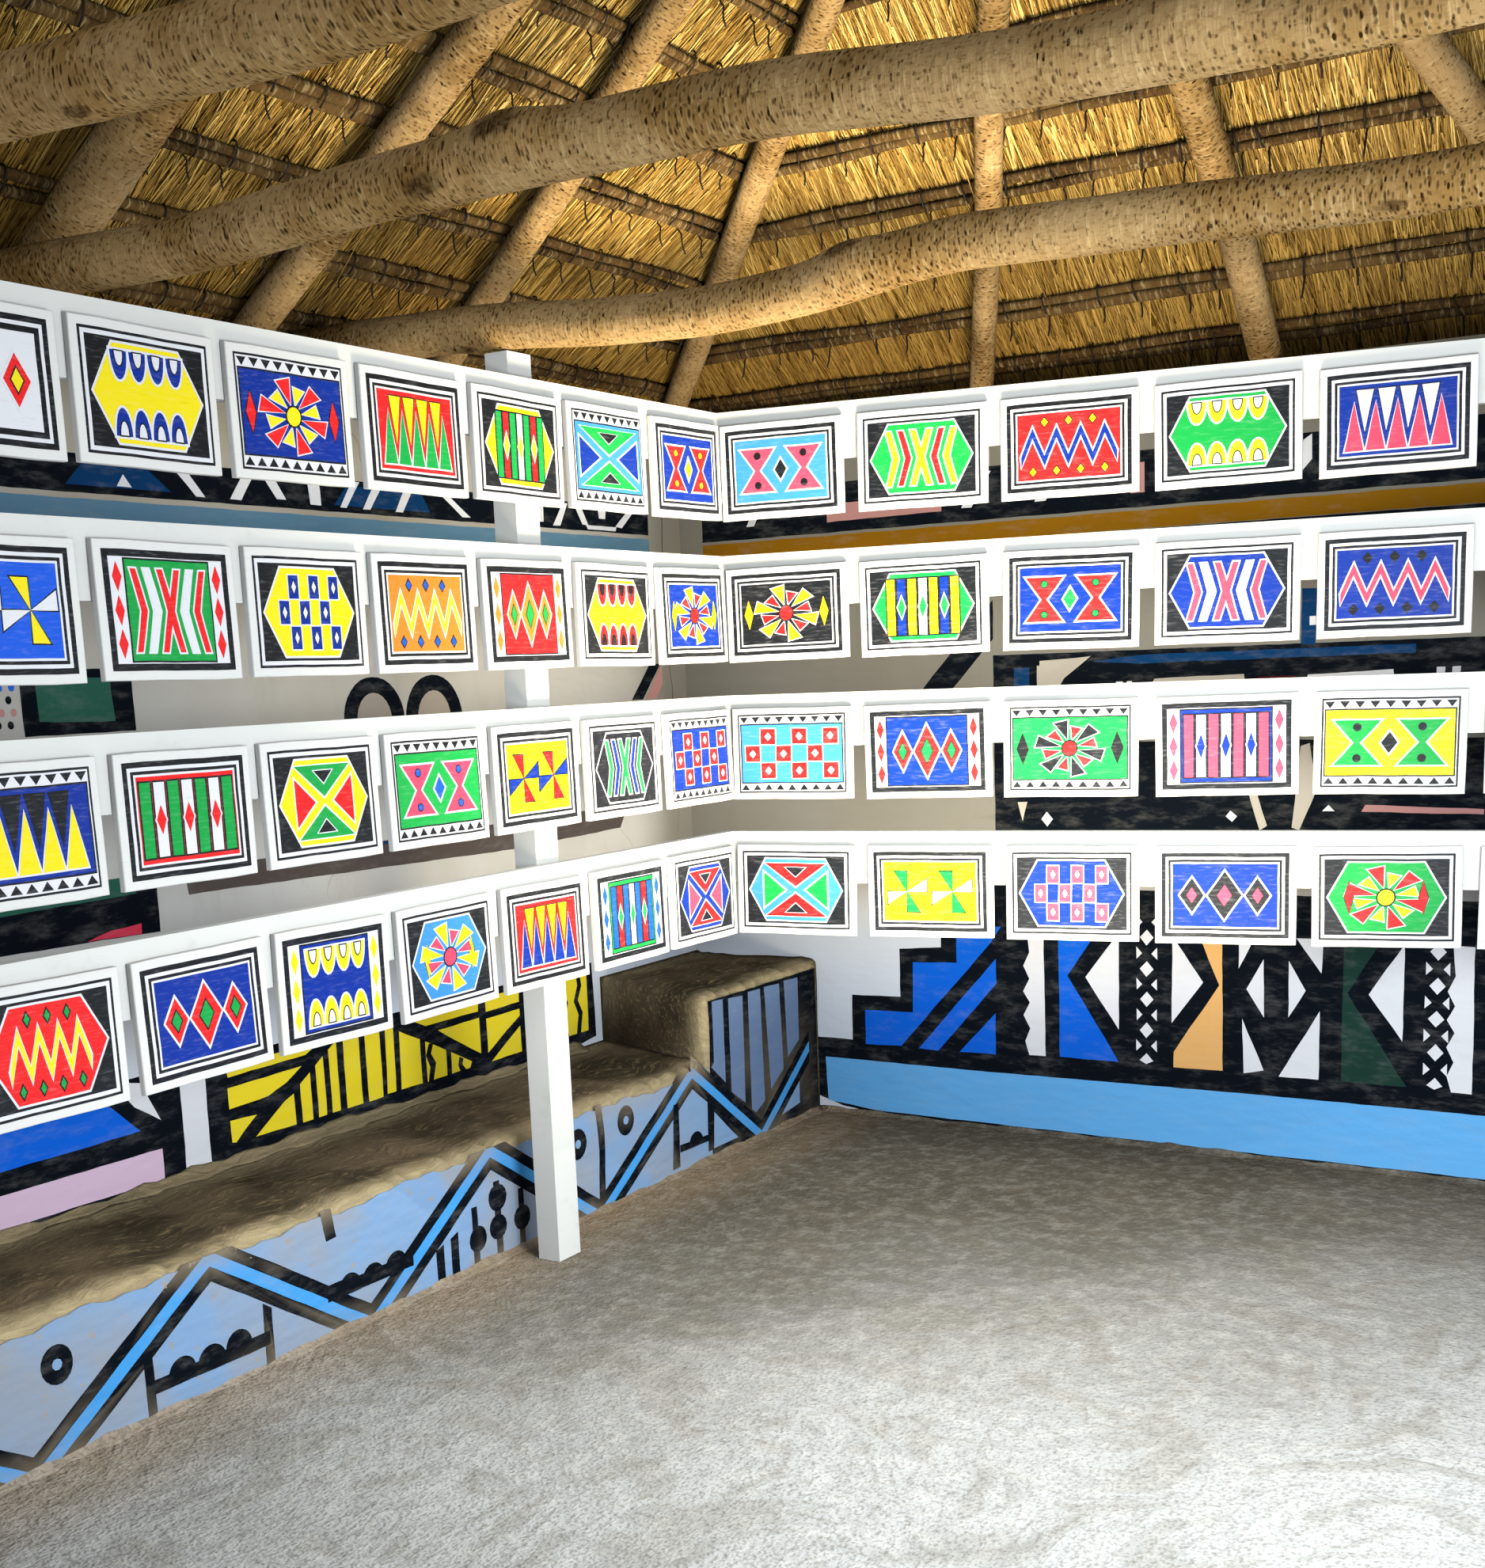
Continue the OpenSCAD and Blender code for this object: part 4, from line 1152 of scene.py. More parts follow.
    def paint(self):
        """Ragged grey-blue ground, a zigzag of three stripes, and the figures in its bays."""
        sheet = Paint(0.0012, 0.04)
        sheet.plane((0, self.front - 0.002, 0), (1, 0, 0), UP)
        west, east, foot = -3.295, 2.53, 0.104
        x = np.arange(west, east, 0.03)
        bites = 0.010 * np.abs(np.sin(5 * x) + np.sin(13 * x + 1)) + 0.004 * np.sin(61 * x)
        ground = np.concatenate([np.stack([x, 0.432 - bites], 1), [(east, foot), (west, foot)]])
        sheet.shape("greyblue", ground, 1)
        sheet.shape("black", (2.545, 0.655, 3.28, 0.65, 3.285, 0.106, 2.535, 0.106), 1)
        sheet.table(BLOCK_BARS)
        sheet.shape("greyblue", (2.55, 0.262, 2.70, 0.134, 2.54, 0.134), 2)
        sheet.shape("greyblue", (2.92, 0.134, 3.14, 0.25, 3.14, 0.16), 2)
        for (xa, za), (xb, zb) in zip(self.turns, self.turns[1:]):
            limit = 0.6 if xa > 2.4 else 0.437
            for tint, low, high in (("black", 1, 3), ("black", -3, -1), ("brightblue", -1, 1)):
                low, high = low * self.bend, high * self.bend
                leg = cut((xa, za + low, xb, zb + low, xb, zb + high, xa, za + high), 0.106, limit)
                sheet.shape(tint, leg, 2 if tint == "black" else 3)
        for shift in (0.0, -2.1):
            limit = self.seen_from if shift else 9.0
            sheet.table([r for r in BENCH_MARKS if max(r[2::2]) / 1000 + shift < limit], 1, shift)
            for x, z, r, end in self.humps:
                if x + shift < limit:
                    sheet.shape("black", arc(x + shift, z, r, r, 0, end, 14), 4)
            for x, z, r in self.rings:
                if x + shift < limit:
                    sheet.shape("black", arc(x + shift, z, r, r * 1.1, count=18), 4)
                    sheet.shape("greyblue", arc(x + shift, z, r * 0.32, r * 0.32, count=9), 6)
        for x in (-0.53, -2.63):
            bar = (x - 0.02, 0.108, x + 0.02, 0.108, x + 0.016, 0.43, x - 0.016, 0.43)
            sheet.shape("black", bar, 3)
        look = paint_look("bench_paint", rgb("ab9c84"), 0.35)
        sheet.put(
            "paint_bench", look, "mud_bench",
            worn=lambda p: np.clip((p[:, 2] - 0.37) * 12, 0, 1) * (p[:, 0] < east)
            + np.clip((0.16 - p[:, 2]) * 9, 0, 0.6),
        )

    def foot(self, name, start, end, out, high, base, look):
        """Mud worked up against a wall's foot: a low hollow curve along the line, its height and
        reach drifting with the place."""
        start, end, out = (np.array(v, dtype=float) for v in (start, end, out))
        length = np.linalg.norm(end - start)
        run = np.linspace(0, length, int(length / 0.04))
        line = start + (end - start) * (run / length)[:, None]
        drift = 1 + 0.4 * np.sin(run * 7 + 1) * np.sin(run * 3) + 0.25 * np.sin(run * 33)
        drift = (drift + 0.12 * np.sin(run * 83))[:, None]
        across = np.array([-0.004, 0.0, 0.12, 0.3, 0.6, 1.0, 1.0])
        up = np.array([-0.1, 1.0, 0.72, 0.42, 0.14, 0.0, -0.1])
        reach = np.where(across > 0, across * high * 2.0 * drift, across)
        rise = up * high * drift
        flat = line[:, None] + reach[..., None] * out
        points = np.concatenate([flat, base + rise[..., None]], axis=-1)
        faces = skin(*rise.shape)
        if np.cross(np.append(end - start, 0), np.append(out, 0))[2] > 0:
            faces = [f[:, ::-1] for f in faces]
        put_piece(f"mud_foot_{name}", points, faces, look, "mud_floor")


def crooked(start, end, bends, rings, rng, sway):
    """Paths from start to end with a slow sideways and upward sway, plus given bends.
    bends rows are a share of the length, a drift and a lift in metres."""
    share = np.linspace(0, 1, rings)
    line = start + (end - start) * share[:, None]
    side = unit(np.cross(end - start, UP))
    drift = np.interp(share, bends[:, 0], bends[:, 1])
    lift = np.interp(share, bends[:, 0], bends[:, 2])
    for turns in (1.3, 2.9):
        phase = rng.uniform(0, 6.28, 2)
        drift = drift + sway * np.sin(turns * 2 * math.pi * share + phase[0]) / turns
        lift = lift + sway * np.sin(turns * 2 * math.pi * share + phase[1]) / turns * 0.5
    return line + side * drift[:, None] + UP * lift[:, None]


TAPER = 0.1
STRAIGHT = np.array([[0.0, 0, 0], [1, 0, 0]])


def bark_pole(path, radius, sides, rng, knots):
    """Radii of a pole: slow swells round and along it, a taper, and a bulge at each knot, which
    is the bell of its distance round and along. Also how dark each point is with a knot's core.
    A knot is its share of the length, its bearing in degrees, its height and its reach."""
    rings = len(path)
    share = np.linspace(0, 1, rings)[:, None]
    turn = (np.arange(sides) * 2 * math.pi / sides)[None]
    length = np.linalg.norm(path[-1] - path[0])
    radii = np.full((rings, sides), radius) * (1 + TAPER * (0.5 - share))
    for size, turns, waves in ((0.03, 2, 0.7), (0.02, 3, 1.6), (0.015, 1, 3.1), (0.008, 5, 6.0)):
        phase = rng.uniform(0, 6.28, 2)
        wave = np.sin(waves * length * math.pi * share + phase[1])
        radii = radii + radius * size * np.sin(turns * turn + phase[0]) * wave
    dark = np.zeros((rings, sides))
    for place, bearing, height, reach in knots:
        around = np.angle(np.exp(1j * (turn - math.radians(bearing)))) * radius
        run = (share - place) * length
        radii = radii + height * np.exp(-((around / (reach * 0.8)) ** 2) - (run / reach) ** 2)
        lean = (run + around * 0.8) / (reach * 0.5)
        dark = np.maximum(dark, np.exp(-((around / (reach * 0.2)) ** 2) - lean**2))
    return radii, dark


def put_poles(name, paths, radii, sides, rng, node, material, knots=()):
    """Bark poles with the same count of rings, as one piece that stands for a CAD node."""
    shapes = [
        bark_pole(path, radius, sides, rng, marks)
        for path, radius, marks in zip(paths, radii, knots or [()] * len(paths))
    ]
    points, faces, uv = sweep(np.stack(paths), np.stack([s[0] for s in shapes]), sides)
    dark = np.stack([s[1] for s in shapes]).ravel()
    return put_piece(name, points, faces, material, "bark_pole", [node], uv, knot=dark)


class HUT_OT_tie_poles(HutOperator, bpy.types.Operator):
    """Four crooked bark poles across the room. The rows of bends are a share of a pole's length,
    its drift and its lift in millimetres, smoothed over blur rings"""

    bl_idname = "hut.tie_poles"
    bl_label = "Tie poles"

    radius = 0.058
    bearing = 0.06
    rings = 140
    blur = 15
    places = (1.43, 0.3, -0.57, -1.43)
    bends = (
        ((0, 0, 0), (0.06, 0, 0), (0.16, 0, -15), (0.24, 5, -50), (0.31, 10, -70), (0.38, 0, -55),
         (0.46, -10, -10), (0.54, 0, -25), (0.66, 5, -50), (0.8, 0, -60), (0.94, 0, 0), (1, 0, 0)),
        ((0, 0, 0), (0.06, 0, 0), (0.2, 0, -25), (0.3, -5, 0), (0.36, 5, 5), (0.5, 10, 0),
         (0.6, 0, -45), (0.72, -10, -70), (0.84, 0, -60), (0.94, 0, 0), (1, 0, 0)),
        ((0, 0, 0), (0.06, 0, 0), (0.25, 10, -30), (0.45, 30, -60), (0.65, 10, -40),
         (0.85, 0, -20), (0.94, 0, 0), (1, 0, 0)),
        ((0, 0, 0), (0.06, 0, 0), (0.3, -20, -45), (0.5, 0, -20), (0.7, 20, -50), (0.94, 0, 0),
         (1, 0, 0)),
    )
    knots = (
        ((0.675, 40, 0.012, 0.05), (0.406, 320, 0.02, 0.08), (0.15, 60, 0.01, 0.05)),
        ((0.345, 30, 0.022, 0.075), (0.385, 330, 0.024, 0.09), (0.665, 320, 0.026, 0.08)),
        ((0.5, 300, 0.02, 0.06), (0.36, 60, 0.012, 0.05)),
        ((0.4, 60, 0.015, 0.05),),
    )

    def execute(self, context):
        rng = np.random.default_rng(11)
        bark = bark_look("pale_bark", colour("bark"), rgb("8a6a3c"), 0.85)
        reach = sizes().half_w + self.bearing
        height = sizes().wall_top + self.bearing
        share = np.linspace(0, 1, self.rings)
        kernel = np.hanning(self.blur) / np.hanning(self.blur).sum()
        for i, (x, bends, knots) in enumerate(zip(self.places, self.bends, self.knots)):
            at, *moves = np.array(bends).T * [[1], [0.001], [0.001]]
            smooth = [share]
            for move in moves:
                wide = np.pad(np.interp(share, at, move), self.blur // 2, mode="edge")
                smooth.append(np.convolve(wide, kernel, "valid"))
            start, end = np.array([x, reach, height]), np.array([x, -reach, height])
            bends = np.stack(smooth, 1) * (1, -1, 1)
            path = crooked(start, end, bends, self.rings, rng, 0.0)
            put_poles(
                f"bark_tie_pole_{i + 1}", [path], [self.radius], 40, rng, f"tie_pole_{i + 1}",
                bark, [knots],
            )
        return {"FINISHED"}


class HUT_OT_rafters(HutOperator, bpy.types.Operator):
    """Bark rafters, hip poles and the ridge pole"""

    bl_idname = "hut.rafters"
    bl_label = "Rafters"

    tail = 0.52
    sway = 0.008
    sides = 28
    hip_r = 0.047
    hip_drop = 0.012
    hip_span = (0.06, 1.236)
    ridge_r = 0.054
    # Where a rafter crosses the wall and where it ends, across the slope, and its radius
    long_feet = ((0.46, 0.46, 0.066), (1.18, 1.18, 0.053), (-0.3, -0.3, 0.05),
                 (-1.18, -1.18, 0.052), (1.98, 1.43, 0.046), (-1.98, -1.43, 0.046))
    end_feet = ((0.0, 0.053), (0.95, 0.043), (-0.95, 0.05))

    def line(self, slope, foot_a, head_a, radius, head_s, rng):
        """A rafter on a slope from its tail past the wall to near the ridge, under the laths."""
        s1 = (slope.foot + self.tail * slope.foot / sizes().half_w) / math.cos(slope.tilt)
        wall = slope.foot / math.cos(slope.tilt)
        tail_a = head_a + (foot_a - head_a) * s1 / wall
        share = head_s / s1
        start_a = head_a + (tail_a - head_a) * share
        drop = sizes().rafter_r - radius
        start = slope.point(start_a, head_s, drop)
        end = slope.point(tail_a, s1, drop)
        return crooked(start, end, STRAIGHT, 60, rng, self.sway)

    def execute(self, context):
        rng = np.random.default_rng(5)
        bark = bark_look("rafter_bark", rgb("a5875c"), rgb("7c6038"), 0.8)
        for name in ("back", "front", "east", "west"):
            slope = Slope(name, sizes())
            sign = -1 if name in ("back", "west") else 1
            if name in ("back", "front"):
                rows = [(sign * f, sign * h, r) for f, h, r in self.long_feet]
                heads = [0.03, 0.03, 0.03, 0.03, 0.25, 0.25]
            else:
                rows = [(sign * f, 0.0, r) for f, r in self.end_feet]
                heads = [0.06, 0.2, 0.2]
            paths = [
                self.line(slope, foot, head, r, s, rng) for (foot, head, r), s in zip(rows, heads)
            ]
            radii = [radius for _, _, radius in rows]
            put_poles(
                f"bark_rafters_{name}", paths, radii, self.sides, rng, f"rafters_{name}", bark
            )
        paths = []
        apex = Slope("east", sizes()).origin[2]
        half_l, half_w = sizes().half_l, sizes().half_w
        for sx in (-1, 1):
            for sy in (-1, 1):
                ridge_end = np.array([sx * (half_l - sizes().hip_run), 0, apex])
                run = np.array([sx * half_l, sy * half_w, apex - sizes().rise]) - ridge_end
                start, end = (ridge_end + run * s + UP * self.hip_drop for s in self.hip_span)
                paths.append(crooked(start, end, STRAIGHT, 70, rng, self.sway))
        put_poles("bark_hips", paths, [self.hip_r] * 4, self.sides, rng, "hip_rafters", bark)
        lo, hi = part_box("ridge_pole")
        z = (lo[2] + hi[2]) / 2
        start, end = np.array([lo[0], 0, z]), np.array([hi[0], 0, z])
        path = crooked(start, end, STRAIGHT, 60, rng, 0.006)
        put_poles("bark_ridge", [path], [self.ridge_r], self.sides, rng, "ridge_pole", bark)
        return {"FINISHED"}


class HUT_OT_laths(HutOperator, bpy.types.Operator):
    """Split saplings in pairs over the rafters, with wire ties round them"""

    bl_idname = "hut.laths"
    bl_label = "Laths and ties"

    section = (0.0135, 0.0175)
    sway = 0.0035
    flat = 0.006
    short = 0.02
    tie_pitch = {"back": 0.135, "east": 0.135, "front": 0.2, "west": 0.2}
    tie_stray = 0.035
    tie_end = 0.08
    wire_r = 0.0032

    def rows(self, slope):
        """Where the pairs lie down the slope."""
        pitch = sizes().lath_pitch
        first = pitch / (3 if slope.name in ("back", "front") else 2)
        last = slope.eave - sizes().thatch - 2 * sizes().lath_d
        return np.arange(first, last, pitch)

    def execute(self, context):
        rng = np.random.default_rng(23)
        wood = bark_look("split_sapling", rgb("5c472a"), rgb("38291a"), 0.5)
        wire = Look("dark_wire", 0.6, 0.3, rgb("0f0c09"))
        wire.tint(wire.noise(wire.place(), 60.0), rgb("2a2016"))
        wire = wire.finish()
        for name in ("back", "front", "east", "west"):
            slope = Slope(name, sizes())
            rows = self.rows(slope)
            self.put_laths(name, slope, rows, rng, wood)
            self.put_ties(name, slope, rows, rng, wire)
        return {"FINISHED"}

    def put_laths(self, name, slope, rows, rng, wood):
        """Each lath runs from hip to hip with a slow sway; its section is a circle cut flat
        towards the room."""
        rings, sides = 40, 10
        s = (rows[:, None] + np.array([-0.42, 0.42]) * sizes().lath_pair).ravel()
        half = slope.half_width(s) - self.short
        share = np.linspace(-1, 1, rings)
        a = half[:, None] * share
        sway = np.zeros_like(a)
        for waves in (1.1, 2.3, 4.7):
            phase = rng.uniform(0, 6.28, (len(s), 1))
            sway = sway + np.sin(a * waves * 2 + phase) * self.sway
        middle = sizes().rafter_r + sizes().lath_d / 2
        paths = slope.point(a, s[:, None] + sway, np.full_like(a, middle))
        radii = rng.uniform(*self.section, (len(s), 1, 1)) * np.ones((1, rings, sides))
        radii = radii * (1 + 0.06 * np.sin(share * 9)[None, :, None])
        points, faces, uv = sweep(paths, radii, sides)
        off = (points - slope.origin) @ slope.normal
        level = sizes().rafter_r + self.flat
        points = points + slope.normal * np.clip(level - off, 0, None)[:, None]
        put_piece(
            f"lath_saplings_{name}", points, faces, wood, "lath_wood", [f"laths_{name}"], uv,
            knot=np.zeros(len(points)),
        )

    def put_ties(self, name, slope, rows, rng, wire):
        """A wire loop round each pair: a flat oval square to the laths, with a hooked tail."""
        a, s = [], []
        for row in rows:
            half = slope.half_width(row) - self.tie_end
            at = np.arange(-half, half, self.tie_pitch[name])
            a.append(at + rng.uniform(-self.tie_stray, self.tie_stray, len(at)))
            s.append(np.full(len(at), row))
        a, s = np.concatenate(a), np.concatenate(s)
        turn = np.linspace(-0.4, 1.62 * math.pi, 9)
        wide, tall = sizes().lath_pair / 2 + 0.020, 0.025
        along = np.concatenate([wide + np.array([0.024, 0.018, 0.008]), np.cos(turn) * wide])
        high = np.concatenate([[-0.042, -0.026, -0.016], np.sin(turn) * tall])
        lean = rng.uniform(-0.25, 0.25, (len(a), 1))
        tail = np.where(np.arange(12) < 3, rng.uniform(0.5, 1.8, (len(a), 1)), 1.0)
        middle = sizes().rafter_r + sizes().lath_d / 2
        paths = slope.point(a[:, None] + lean * along, s[:, None] + along, middle + high * tail)
        points, faces, _ = sweep(paths, self.wire_r, 4, slope.across)
        put_piece(f"wire_ties_{name}", points, faces, wire, "lath_wood")


def slivers(slope, upper, lower, wide, thick, butt_down):
    """Straws as thin closed wedges: one end is an edge wide across the slope, the other an edge
    thick square to it, so four faces close each. upper and lower are their ends as across, down
    and off."""
    ends = [slope.point(*upper), slope.point(*lower)]
    first, last = ends[::-1] if butt_down else ends
    side = slope.across * (wide * (-1 if butt_down else 1))[:, None]
    tip = slope.normal * thick
    points = np.stack([first - side, first + side, last + tip, last - tip], axis=1)
    corners = np.array([[0, 2, 1], [0, 1, 3], [1, 2, 3], [0, 3, 2]])
    faces = (np.arange(len(wide))[:, None, None] * 4 + corners).reshape(-1, 3)
    return points.reshape(-1, 3), faces


class HUT_OT_thatch(HutOperator, bpy.types.Operator):
    """Straw under and over the thatch, its cut eaves and the ridge cap. counts gives each slope
    its share of the straws below, and its straws above and at the eave"""

    bl_idname = "hut.thatch"
    bl_label = "Thatch"

    counts = (("back", 1.0, 14000, 7000), ("front", 0.22, 14000, 7000),
              ("east", 0.6, 8000, 4000), ("west", 0.14, 8000, 4000))
    cap_straws = 6000
    loose = 0.008
    long_under, wide_under = (0.14, 0.4), (0.0016, 0.0034)
    long_over, wide_over = (0.22, 0.42), (0.004, 0.008)
    long_cap, wide_cap = (0.2, 0.4), (0.005, 0.01)
    wide_eave = (0.002, 0.0045)
    sapling_r = 0.012

    def execute(self, context):
        rng = np.random.default_rng(7)
        down_y, down_x = (260.0, 14.0, 40.0), (14.0, 260.0, 40.0)
        repaint(slab_look("thatch_body", down_y), "thatch_back", "thatch_front", "ridge_cap")
        repaint(slab_look("thatch_body_ends", down_x), "thatch_east", "thatch_west")
        inner = straw_look("straw_inside", rgb("4a2f0e"), rgb("86612a"), 0.35)
        outer = straw_look("straw_outside", rgb("6a5030"), rgb("a39067"), 0.5)
        for name, share, above, ends in self.counts:
            slope = Slope(name, sizes())
            self.under(slope, int(sizes().straws * share), rng, inner)
            self.over(slope, above, rng, outer)
            self.bristles(slope, ends, rng, outer)
        for name in ("back", "front"):
            self.cap(Slope(name, sizes()), self.cap_straws, rng, outer)
        return {"FINISHED"}

    def spread(self, slope, count, rng, s_low, s_high, off):
        """Places drawn evenly over a slope's area: its width grows evenly with s, so s is the
        root of a quadratic in an even draw."""
        half = slope.half_width(np.array([s_low, s_high]), off).clip(0.02)
        grow = (half[1] - half[0]) / (s_high - s_low)
        draw = rng.uniform(0, 1, count) * (half[1] ** 2 - half[0] ** 2)
        s = s_low + (np.sqrt(half[0] ** 2 + draw) - half[0]) / grow
        return s, rng.uniform(-1, 1, count) * slope.half_width(s, off)

    def lay(self, name, slope, upper, lower, wide, thick, look, butt_down, tone):
        """Straws as one piece, each with its tone."""
        points, faces = slivers(slope, upper, lower, wide, thick, butt_down)
        put_piece(name, points, [faces], look, "thatch", smooth=False, tone=np.repeat(tone, 4))

    def under(self, slope, count, rng, look):
        """Straws on the underside, and a few loose ones that hang from it."""
        off = sizes().rafter_r + sizes().lath_d
        s, a = self.spread(slope, count, rng, 0.0, slope.cut, off)
        size = rng.uniform(*self.long_under, count)
        s0, s1 = np.clip(s - size / 2, 0, None), np.clip(s + size / 2, 0, slope.cut + 0.01)
        swing = np.tan(rng.normal(0, 0.09, count)) * (s1 - s0)
        edge0, edge1 = slope.half_width(s0, off), slope.half_width(s1, off)
        is_loose = rng.uniform(0, 1, count) < self.loose
        hang = np.where(is_loose, rng.uniform(0.01, 0.05, count), 0)
        high, low = rng.uniform(-0.008, 0.001, (2, count))
        self.lay(
            f"straw_under_{slope.name}", slope,
            (np.clip(a, -edge0, edge0), s0, off + high),
            (np.clip(a + swing, -edge1, edge1), s1, off + low - hang),
            rng.uniform(*self.wide_under, count), 0.0012, look, False,
            # The tone falls towards the eave: painted shade near the wall top.
            rng.uniform(0.15, 1, count) * (1 - 0.5 * (s / slope.cut) ** 2),
        )

    def over(self, slope, count, rng, look):
        """The weather side: straws combed down the slope, butts down, a little proud."""
        off = slope.top
        s, a = self.spread(slope, count, rng, slope.head, slope.cut, off)
        size = rng.uniform(*self.long_over, count)
        s1 = np.clip(s + rng.uniform(0, 0.02, count), None, slope.cut + 0.012)
        s0 = np.clip(s1 - size, slope.head, None)
        swing = np.tan(rng.normal(0, 0.05, count)) * (s1 - s0)
        edge0, edge1 = slope.half_width(s0, off), slope.half_width(s1, off)
        self.lay(
            f"straw_over_{slope.name}", slope,
            (np.clip(a - swing, -edge0, edge0), s0, np.full(count, off - 0.003)),
            (np.clip(a, -edge1, edge1), s1, off + rng.uniform(0.002, 0.014, count)),
            rng.uniform(*self.wide_over, count), 0.002, look, True,
            rng.uniform(0, 1, count) ** 0.9,
        )

    def bristles(self, slope, count, rng, look):
        """Cut ends of straws, standing out of the eave's square face by up to 15 mm."""
        low = sizes().rafter_r + sizes().lath_d
        off = rng.uniform(low + 0.002, slope.top, count)
        a = rng.uniform(-1, 1, count) * slope.half_width(slope.cut, off)
        s1 = slope.cut + rng.uniform(0.003, 0.016, count)
        self.lay(
            f"straw_eave_{slope.name}", slope, (a, s1 - 0.06, off),
            (a + rng.normal(0, 0.004, count), s1, off + rng.normal(0, 0.002, count)),
            rng.uniform(*self.wide_eave, count), 0.003, look, True, rng.uniform(0.2, 1, count),
        )

    def cap(self, slope, count, rng, look):
        """One side of the bent mat on the ridge: straws from its fold to its lower edge, and two
        saplings laid along it."""
        off, width = slope.top + sizes().cap_t, sizes().cap_w
        steep = math.tan(slope.tilt)
        head = -off * steep + 0.5 * sizes().cap_t
        foot = width - off * steep
        reach = slope.ridge + width / 2
        s1 = rng.uniform(head + 0.1, foot + 0.04, count)
        s0 = np.clip(s1 - rng.uniform(*self.long_cap, count), head, None)
        a = rng.uniform(-1, 1, count) * reach
        self.lay(
            f"straw_cap_{slope.name}", slope, (a, s0, np.full(count, off - 0.002)),
            (np.clip(a + rng.normal(0, 0.02, count), -reach, reach), s1,
             off + rng.uniform(0.004, 0.03, count)),
            rng.uniform(*self.wide_cap, count), 0.003, look, True, rng.uniform(0, 1, count),
        )
        share = np.linspace(-1, 1, 50)
        rows = np.array([[0.3], [0.75]]) * (foot - head) + head
        sway = np.sin(share * 7 + np.array([[0.4], [2.1]])) * 0.006
        paths = slope.point(
            np.broadcast_to(share * reach, (2, 50)), rows + sway, np.full((2, 50), off + 0.008)
        )
        points, faces, uv = sweep(paths, self.sapling_r, 8)
        bark = bark_look(f"cap_sapling_{slope.name}", rgb("8a7350"), rgb("6a553a"), 0.4)
        put_piece(
            f"cap_saplings_{slope.name}", points, faces, bark, "bark_pole", uv=uv,
            knot=np.zeros(len(points)),
        )


class HUT_OT_rack(HutOperator, bpy.types.Operator):
    """White paint on the rails and posts"""

    bl_idname = "hut.rack"
    bl_label = "Rack"

    def execute(self, context):
        repaint(
            rack_look(), "rack_rails_back", "rack_rails_end", "rack_post_1", "rack_post_2",
            "rack_post_3",
        )
        return {"FINISHED"}


